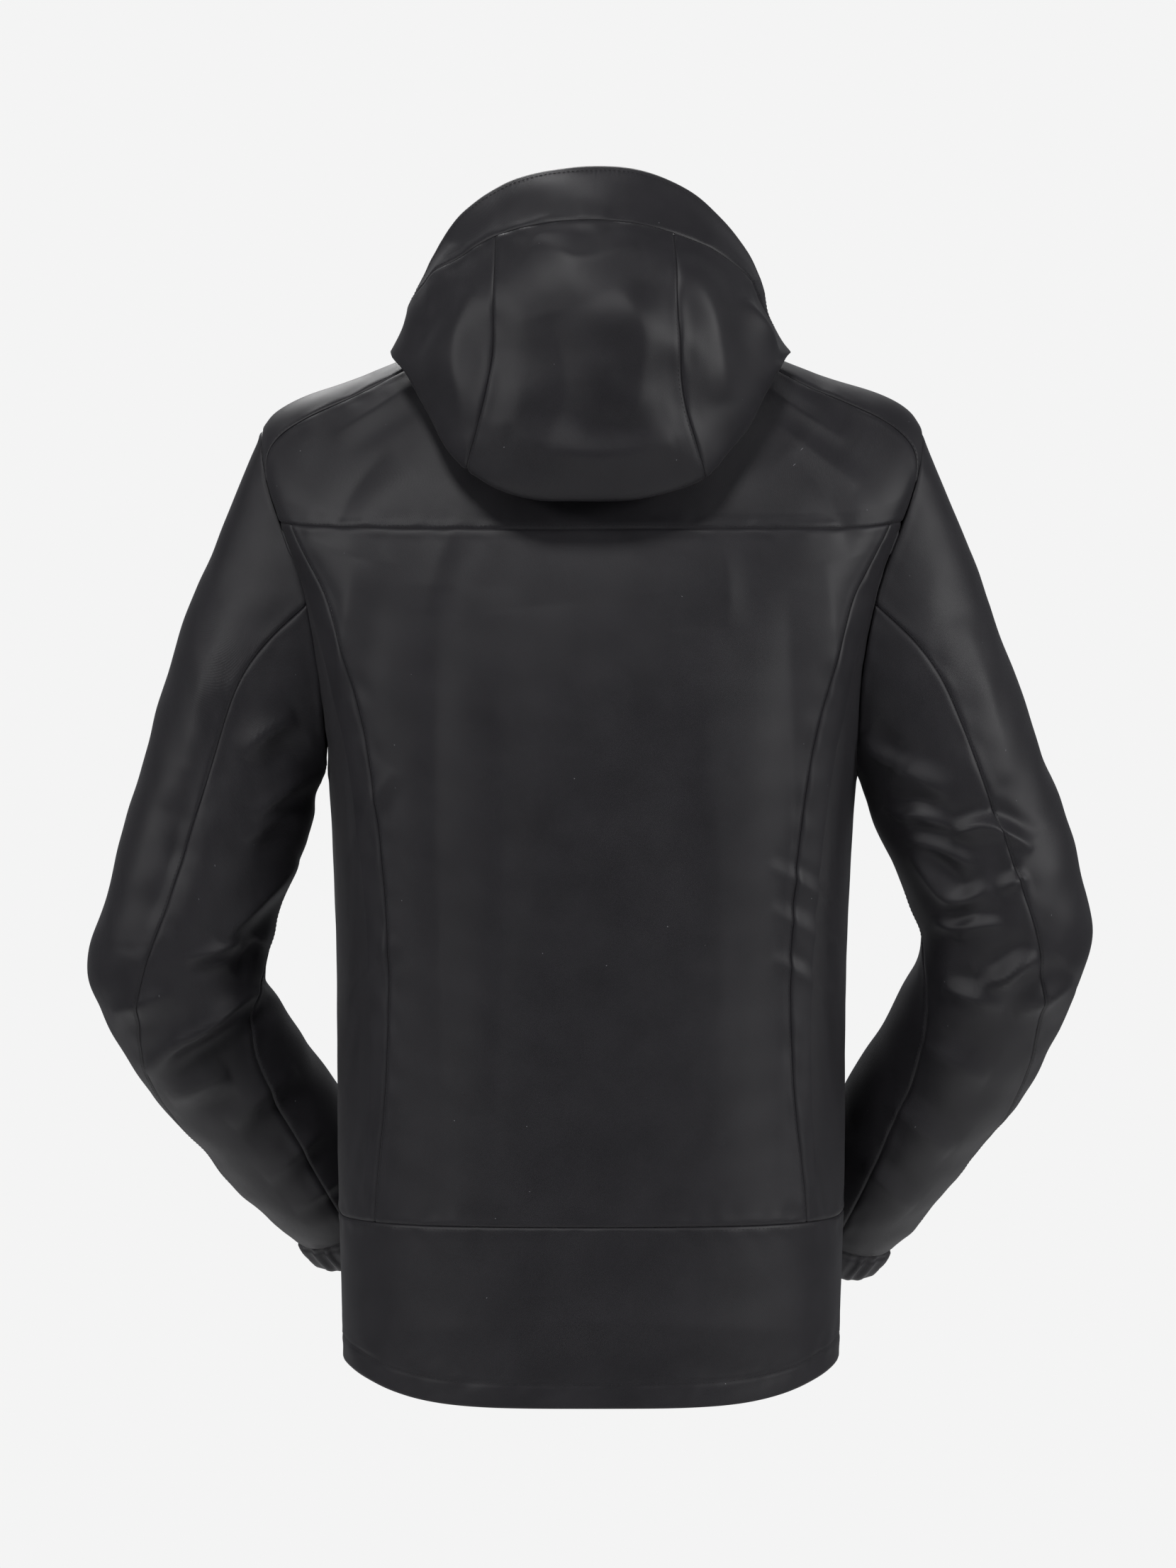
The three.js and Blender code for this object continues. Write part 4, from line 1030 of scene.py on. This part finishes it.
# %% [markdown]
# ## Inside the body
# A storm flap lies behind the main zip, a facing turns up the hem, and each pocket has a bag.

# %% Flap, facing and pocket bags
def flap_edge(side):
    return lambda level: np.stack([-90 + side * (90 + front_turn(20, level)), level], -1)


def flap_end(level):
    turns = [float(flap_edge(side)(np.array([level]))[0, 0]) for side in (-1, 1)]
    return np.stack([np.linspace(*turns, 17), np.full(17, level)], -1)


low, high = 0.12, HEM_LEVEL - 0.02
flap_sides = [sweep(flap_edge(side), low, high, 18) for side in (-1, 1)]
flap = (flap_end(low), flap_end(high), *flap_sides)
made = panel("storm_flap", torso, *flap, torso_relief, lift=-2.6, sewn="r", spacing=5)
lining("storm_flap", made, "shell")
facing_top = float(level_at(90, HEM + 30))
facing_start = float(front_turn(24, HEM_LEVEL))
turns, levels = (facing_start, 180 - facing_start), (facing_top, HEM_LEVEL - 0.01)
made = band("hem_facing", torso, turns, levels, torso_relief, lift=-2.2, sewn="t", spacing=5)
lining("hem_facing", made, "shell")
bag_levels = [float(level_at(-50, z)) for z in (-372, -596)]
for side in ("left", "right"):
    edges = [np.stack([np.linspace(-68, -40, 41), np.full(41, level)], -1) for level in bag_levels]
    flanks = [np.stack([np.full(41, turn), np.linspace(*bag_levels, 41)], -1) for turn in (-68.0, -40.0)]
    name = f"pocket_bag_{side}"
    made = panel(name, torso, *edges, *flanks, torso_relief, side == "right", lift=-2.4, spacing=5)
    lining(name, made, "shell")
print("sheets so far:", len(panels))

# %% [markdown]
# ## Topstitching
# Hardshell seams are sewn, then stitched again beside the seam line. One stitch is a flat lozenge of
# eight faces, sunk a little in the cloth. It is laid along lines read off the finished panels, so it
# follows every fold, and each moving part of the garment has its own mesh of stitches.

# %% Stitches
thread_finish, thread_maker, thread_shader = material("sewing_thread", 0.5, 0.1, 0.4)
twist = thread_maker.make("ShaderNodeTexCoord", out="Object")
ply = thread_maker.make("ShaderNodeTexNoise", None, {"Vector": twist, "Scale": 2600.0})
finish_shader(thread_maker, thread_shader, ply.blend((0.004, 0.004, 0.005, 1), (0.016, 0.015, 0.018, 1)),
              ply * 0.2 + 0.4, ply, 0.00005)


def seam_line(made, edge, distance):
    """Points and facing along a panel, at one distance from an edge."""
    layers = [made["points"], made["facing"], made["away"][edge][..., None]]
    if edge in "tb":
        layers = [layer.swapaxes(0, 1) for layer in layers]
    if edge in "rb":
        layers = [layer[:, ::-1] for layer in layers]
    points, facing, away = layers
    read_at = [
        np.concatenate([[np.interp(distance, a[:, 0], p[:, k]) for k in range(3)],
                        [np.interp(distance, a[:, 0], f[:, k]) for k in range(3)]])
        for p, f, a in zip(points, facing, away)
    ]
    return np.array(read_at)


def stitch_run(line, pitch=3.3, length=2.4, width=0.5, rise=0.22):
    """Vertices of the stitches along one line."""
    lengths = np.concatenate([[0], np.cumsum(np.linalg.norm(np.diff(line[:, :3], axis=0), axis=1))])
    places = np.arange(2.5, lengths[-1] - 2.5, pitch)
    at = np.stack([np.interp(places, lengths, line[:, k]) for k in range(6)], -1)
    ahead = np.stack([np.interp(places + 0.5, lengths, line[:, k]) for k in range(3)], -1)
    along = ahead - at[:, :3]
    along /= np.maximum(np.linalg.norm(along, axis=1, keepdims=True), 1e-9)
    up = at[:, 3:] - (at[:, 3:] * along).sum(1, keepdims=True) * along
    up /= np.maximum(np.linalg.norm(up, axis=1, keepdims=True), 1e-9)
    side = np.cross(up, along)
    middle = at[:, :3] + up * 0.08
    return np.stack([middle - along * length / 2, middle + along * length / 2, middle - side * width / 2,
                     middle + side * width / 2, middle + up * rise, middle - up * rise], 1)


LOZENGE = np.array([(0, 2, 4), (2, 1, 4), (1, 3, 4), (3, 0, 4), (2, 0, 5), (1, 2, 5), (3, 1, 5), (0, 3, 5)])
SEAM = 2.2  # from a seam to the stitches beside it
ARM_ROWS = (("l", SEAM), ("r", SEAM), ("b", 2.0))
ROWS = {
    "shell": [
        ("back_yoke", "b", SEAM), ("back_panel", "l", SEAM), ("back_panel", "r", SEAM),
        ("lower_back_panel", "t", SEAM), ("lower_back_panel", "b", HEM_FOLD),
        ("shoulder_panel_left", "l", SEAM), ("shoulder_panel_left", "r", SEAM),
        ("shoulder_panel_right", "l", SEAM), ("shoulder_panel_right", "r", SEAM),
        ("front_panel_left", "b", HEM_FOLD), ("front_panel_right", "b", HEM_FOLD),
        ("front_panel_left", "l", 4.0), ("front_panel_right", "r", 4.0),
        ("collar_outer", "t", 3.0), ("collar_outer", "b", SEAM),
        ("front_panel_left", "r", SEAM), ("front_panel_right", "l", SEAM),
    ],
    "hood": [
        ("hood_brim", "b", SEAM), ("hood_brim", "t", 5.0),
        ("hood_center", "l", SEAM), ("hood_center", "r", SEAM),
    ],
    "sleeve_left": [("top_sleeve_left", *row) for row in ARM_ROWS],
    "sleeve_right": [("top_sleeve_right", *row) for row in ARM_ROWS],
}
REACH = {"hood": hood_reach} | {f"sleeve_{side}": shoulder_reach(SIGN[side]) for side in SIGN}
for body, rows in ROWS.items():
    runs = np.concatenate([stitch_run(seam_line(panels[name], edge, away)) for name, edge, away in rows])
    faces = (np.arange(len(runs))[:, None, None] * 6 + LOZENGE).reshape(-1, 3)
    mesh = bpy.data.meshes.new(f"stitches_{body}")
    mesh.from_pydata((runs.reshape(-1, 3) * MM).tolist(), [], faces.tolist())
    mesh.materials.append(thread_finish)
    obj = bpy.data.objects.new(f"stitches_{body}", mesh)
    scene.collection.objects.link(obj)
    if body in REACH:
        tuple(REACH[body][0])
        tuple(REACH[body][1])
        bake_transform(obj)
    else:
        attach(obj, body)
    print(obj.name, len(runs), "stitches")

# %% [markdown]
# ## Zips
# A zip is two woven tapes, a chain of moulded teeth that lock across the middle, a slider and its
# pull, and a stop at the top. All are small hard parts, so they are modelled from blocks in
# the zip's own space, x across it, z up it and y into the garment, and then laid in place. The frame's
# joints say where: the slide runs up the zip, and the pull's pin crosses it.

# %% Finishes for teeth, metal and pulls
def hard(name, dark, light, rough, metal, depth):
    made, maker, shader = material(name, rough, 0.0, 0.5, metal)
    place = maker.make("ShaderNodeTexCoord", out="Object")
    grain = maker.make("ShaderNodeTexNoise", None, {"Vector": place, "Scale": 700.0, "Detail": 4.0})
    wear = maker.make("ShaderNodeTexNoise", None, {"Vector": place, "Scale": 90.0, "Detail": 3.0})
    colour = wear.blend((*dark, 1), (*light, 1))
    finish_shader(maker, shader, colour, grain * 0.2 + (rough - 0.1), grain, depth)
    return made


teeth_finish = hard("moulded_teeth", (0.008, 0.008, 0.009), (0.018, 0.018, 0.020), 0.36, 0.0, 0.00003)
metal_finish = hard("coated_alloy", (0.020, 0.020, 0.022), (0.055, 0.055, 0.058), 0.38, 0.85, 0.00003)
pull_finish = hard("moulded_pull", (0.010, 0.010, 0.011), (0.022, 0.022, 0.024), 0.48, 0.0, 0.00005)


# %% Tools for modelling from blocks
def block(name, low, high):
    """A box between two corners, ready to be shaped."""
    bpy.ops.object.select_all(action="DESELECT")
    middle = [(a + b) / 2 for a, b in zip(low, high)]
    bpy.ops.mesh.primitive_cube_add(size=1, location=middle, scale=[b - a for a, b in zip(low, high)])
    bpy.ops.object.transform_apply(location=True, rotation=False, scale=True)
    obj = bpy.context.object
    obj.name = name
    return obj


def on_faces(obj, test, work):
    """Selects the faces whose middle and facing pass a test, and runs edit-mode operators on them."""
    bpy.ops.object.mode_set(mode="EDIT")
    bpy.ops.mesh.select_mode(type="FACE")
    bpy.ops.mesh.select_all(action="DESELECT")
    mesh = bmesh.from_edit_mesh(obj.data)
    for face in mesh.faces:
        face.select_set(bool(test(face.calc_center_median(), face.normal)))
    bmesh.update_edit_mesh(obj.data)
    work()
    bpy.ops.object.mode_set(mode="OBJECT")


def push(distance):
    bpy.ops.mesh.extrude_region_shrink_fatten(TRANSFORM_OT_shrink_fatten={"value": distance})


def widen(x, y, z):
    return lambda: bpy.ops.transform.resize(value=(x, y, z))


def toward(axis, way):
    """Tests for a face that faces one way along an axis, or either way if way is 0."""
    return lambda middle, facing: (abs(facing[axis]) if way == 0 else way * facing[axis]) > 0.9


def inset_and_push(width, distance):
    def work():
        bpy.ops.mesh.inset(thickness=width)
        push(distance)

    return work


def apply_modifier(obj, kind, **settings):
    bpy.context.view_layer.objects.active = obj
    modifier = obj.modifiers.new(kind.lower(), kind)
    for name, value in settings.items():
        setattr(modifier, name, value)
    bpy.ops.object.modifier_apply(modifier=modifier.name)


def join_up(obj, *others):
    bpy.ops.object.select_all(action="DESELECT")
    for piece in (obj, *others):
        piece.select_set(True)
    bpy.context.view_layer.objects.active = obj
    bpy.ops.object.join()
    return obj


def lay(obj, matrix, node, body, finish, soften=0.0):
    """Rounds a part's edges, paints it, and puts it in its place on the jacket."""
    bpy.ops.object.select_all(action="DESELECT")
    obj.select_set(True)
    if soften:
        apply_modifier(obj, "BEVEL", width=soften, segments=2, limit_method="ANGLE", harden_normals=False)
    bpy.context.view_layer.objects.active = obj
    bpy.ops.object.shade_smooth_by_angle(angle=math.radians(40))
    obj.matrix_world = matrix @ Matrix.Scale(MM, 4)
    bpy.ops.object.transform_apply(location=True, rotation=True, scale=True)
    obj.data.materials.clear()
    obj.data.materials.append(finish)
    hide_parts(node)
    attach(obj, body)
    return obj


# %% The parts of one zip
CHAIN_HALF, CHAIN_DEPTH, STOP, PIN_OUT, PIN_DOWN = 1.7, 2.4, 3.0, 5.8, 9.1


def tape(side, half, length):
    low, high = sorted((side * (CHAIN_HALF + 0.3), side * half))
    obj = block("tape", (low, -0.5, 0), (high, 0.5, length))
    on_faces(obj, toward(1, -1), inset_and_push(0.7, -0.12))
    bead = block("bead", (side * 2.5 - 0.45, -0.72, 0), (side * 2.5 + 0.45, 0.3, length))
    return join_up(obj, bead)


def teeth(length, pitch=2.6):
    """One locked pair, repeated up the chain."""
    pair = []
    for side, lift in ((1, 0.0), (-1, pitch / 2)):
        inner, outer = -side * 0.9, side * CHAIN_HALF
        low, high = sorted((inner, outer))
        tooth = block("tooth", (low, -CHAIN_DEPTH / 2, lift), (high, CHAIN_DEPTH / 2, lift + 1.05))
        on_faces(tooth, lambda middle, facing: facing.x * side < -0.9, inset_and_push(0.22, 0.25))
        apply_modifier(tooth, "BEVEL", width=0.16, segments=1, limit_method="ANGLE")
        pair.append(tooth)
    chain = join_up(*pair)
    apply_modifier(chain, "ARRAY", count=int(length / pitch), use_relative_offset=False,
                   use_constant_offset=True, constant_offset_displace=(0, 0, pitch))
    return chain


def slider():
    """Around its pin: the plate, a waisted crown, two lugs and the pin itself."""
    plate = block("slider", (-4.2, PIN_OUT - 3.2, -5.5), (4.2, PIN_OUT - 1.5, 5.5))
    on_faces(plate, toward(2, -1), widen(0.72, 1, 1))
    on_faces(plate, toward(1, -1), inset_and_push(1.5, 0.45))
    apply_modifier(plate, "BEVEL", width=0.35, segments=2, limit_method="ANGLE")
    lugs = []
    for side in (-1, 1):
        outer, inner = side * 3.4, side * 2.3
        low, high = sorted((outer, inner))
        lug = block("lug", (low, -1.3, -1.6), (high, PIN_OUT - 2.8, 1.6))
        on_faces(lug, toward(1, -1), widen(1, 1, 0.6))
        apply_modifier(lug, "BEVEL", width=0.25, segments=2, limit_method="ANGLE")
        lugs.append(lug)
    bpy.ops.object.select_all(action="DESELECT")
    bpy.ops.mesh.primitive_cylinder_add(vertices=20, radius=0.7, depth=6.4, rotation=(0, math.radians(90), 0))
    bpy.ops.object.transform_apply(location=True, rotation=True, scale=True)
    return join_up(plate, *lugs, bpy.context.object)


def pull(length):
    """An eye round the pin, a neck, and a ribbed grip."""
    bpy.ops.object.select_all(action="DESELECT")
    bpy.ops.mesh.primitive_torus_add(
        major_radius=1.4, minor_radius=0.35, major_segments=28, minor_segments=10,
        rotation=(0, math.radians(90), 0),
    )
    bpy.ops.object.transform_apply(location=True, rotation=True, scale=True)
    eye = bpy.context.object
    eye.scale = (4.2, 1, 1)
    bpy.ops.object.transform_apply(location=False, rotation=False, scale=True)
    neck = block("neck", (-1.5, -0.55, -7), (1.5, 0.45, -1.4))
    grip = block("grip", (-2.5, -0.75, -length), (2.5, 0.6, -5.5))
    on_faces(grip, toward(2, -1), widen(1.2, 1, 1))
    on_faces(grip, toward(1, 0), inset_and_push(0.8, -0.22))
    apply_modifier(grip, "BEVEL", width=0.3, segments=3, limit_method="ANGLE")
    ribs = []
    for k in range(5):
        z = -length + 4 + 2.2 * k
        ribs.append(block("rib", (-1.7, -0.78, z), (1.7, 0.62, z + 0.8)))
    return join_up(grip, neck, eye, *ribs)


# %% Lay the three zips
ZIPS = {
    "main_zip": ("main_zip_slide", "main_pull_swing", 775.8, 8.7, 34),
    "pocket_zip_left": ("pocket_zip_slide_left", "pocket_pull_swing_left", 168.0, 8.0, 26),
    "pocket_zip_right": ("pocket_zip_slide_right", "pocket_pull_swing_right", 168.0, 8.0, 26),
}


def axes(across, up, origin):
    matrix = Matrix((across, up.cross(across), up)).transposed().to_4x4()
    matrix.translation = origin
    return matrix


zip_places = {}
for name, (slide, swing, length, half, grip) in ZIPS.items():
    up = Vector(joints[slide]["axis"]).normalized()
    across = -Vector(joints[swing]["axis"]).normalized()
    pin = Vector(joints[swing]["pos_m"])
    at_pin = axes(across, up, pin)
    foot = pin + up.cross(across) * PIN_OUT * MM - up * (length - PIN_DOWN) * MM
    at_foot = axes(across, up, foot)
    plumb = (Vector((0, 0, 1)) - across * across.z).normalized()
    zip_places[name] = at_foot
    for side, way in (("left", 1), ("right", -1)):
        strip = tape(way, half, length)
        lay(strip, at_foot, f"{name}_tape_{side}", "shell", tape_cloth).name = f"{name}_{side}_tape"
    chain_up = teeth(length - STOP - 0.3)
    lay(chain_up, at_foot, f"{name}_chain", "shell", teeth_finish).name = f"{name}_teeth"
    corner = (CHAIN_HALF, CHAIN_DEPTH / 2)
    stop = block("stop", (-corner[0], -corner[1], length - STOP), (*corner, length))
    on_faces(stop, toward(1, 0), inset_and_push(0.5, -0.2))
    lay(stop, at_foot, f"{name}_top_stop", "shell", metal_finish, 0.25).name = f"{name}_stop"
    body = f"{name}_slider"
    lay(slider(), at_pin, body, body, metal_finish).name = f"{name}_runner"
    body = f"{name}_pull"
    lay(pull(grip), axes(across, plumb, pin), body, body, pull_finish).name = f"{name}_tab"
print("zips:", ", ".join(ZIPS))

# %% Retainer box, pocket welts and hanger loop
box = block("retainer", (-5, -1.4, -11), (5, 1.4, -0.3))
on_faces(box, toward(1, 0), inset_and_push(1.4, -0.3))
on_faces(box, toward(2, -1), widen(0.8, 0.8, 1))
at_foot = zip_places["main_zip"]
lay(box, at_foot, "main_zip_retainer_box", "shell", metal_finish, 0.4).name = "main_zip_box"

for side in ("left", "right"):
    welt = block("welt", (-12, 1.5, -4), (12, 2.9, 172))
    on_faces(welt, toward(1, -1), inset_and_push(2.2, -0.35))
    on_faces(welt, lambda middle, facing: facing.y < -0.9 and middle.y > 1.7, inset_and_push(0.6, 0.2))
    at_foot = zip_places[f"pocket_zip_{side}"]
    lay(welt, at_foot, f"pocket_welt_{side}", "shell", shell_cloth, 0.35)
    welt.name = f"pocket_welt_{side}_cloth"

low, high = (Vector(corner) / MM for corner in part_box("hanger_loop"))
strap = block("strap", low, (high.x, low.y + 1.2, high.z))
on_faces(strap, toward(1, -1), inset_and_push(0.7, -0.2))
ends = []
for start in (low.x, high.x - 7):
    end = block("end", (start, low.y + 0.9, low.z), (start + 7, high.y, high.z))
    on_faces(end, toward(2, 0), inset_and_push(0.9, -0.25))
    bars = [block("bar", (start + 1.2, low.y - 0.1 + 0.02 * k, low.z + 0.8 + 1.1 * k),
                  (start + 5.8, low.y + 0.5, low.z + 1.3 + 1.1 * k)) for k in range(4)]
    ends += [end, *bars]
loop = join_up(strap, *ends)
lay(loop, Matrix.Identity(4), "hanger_loop", "shell", tape_cloth, 0.25).name = "hanger_loop_strap"
left_as_made = [name for name, node in frame["nodes"].items() if not node.hide_render]
print("pieces without their own model:", left_as_made)
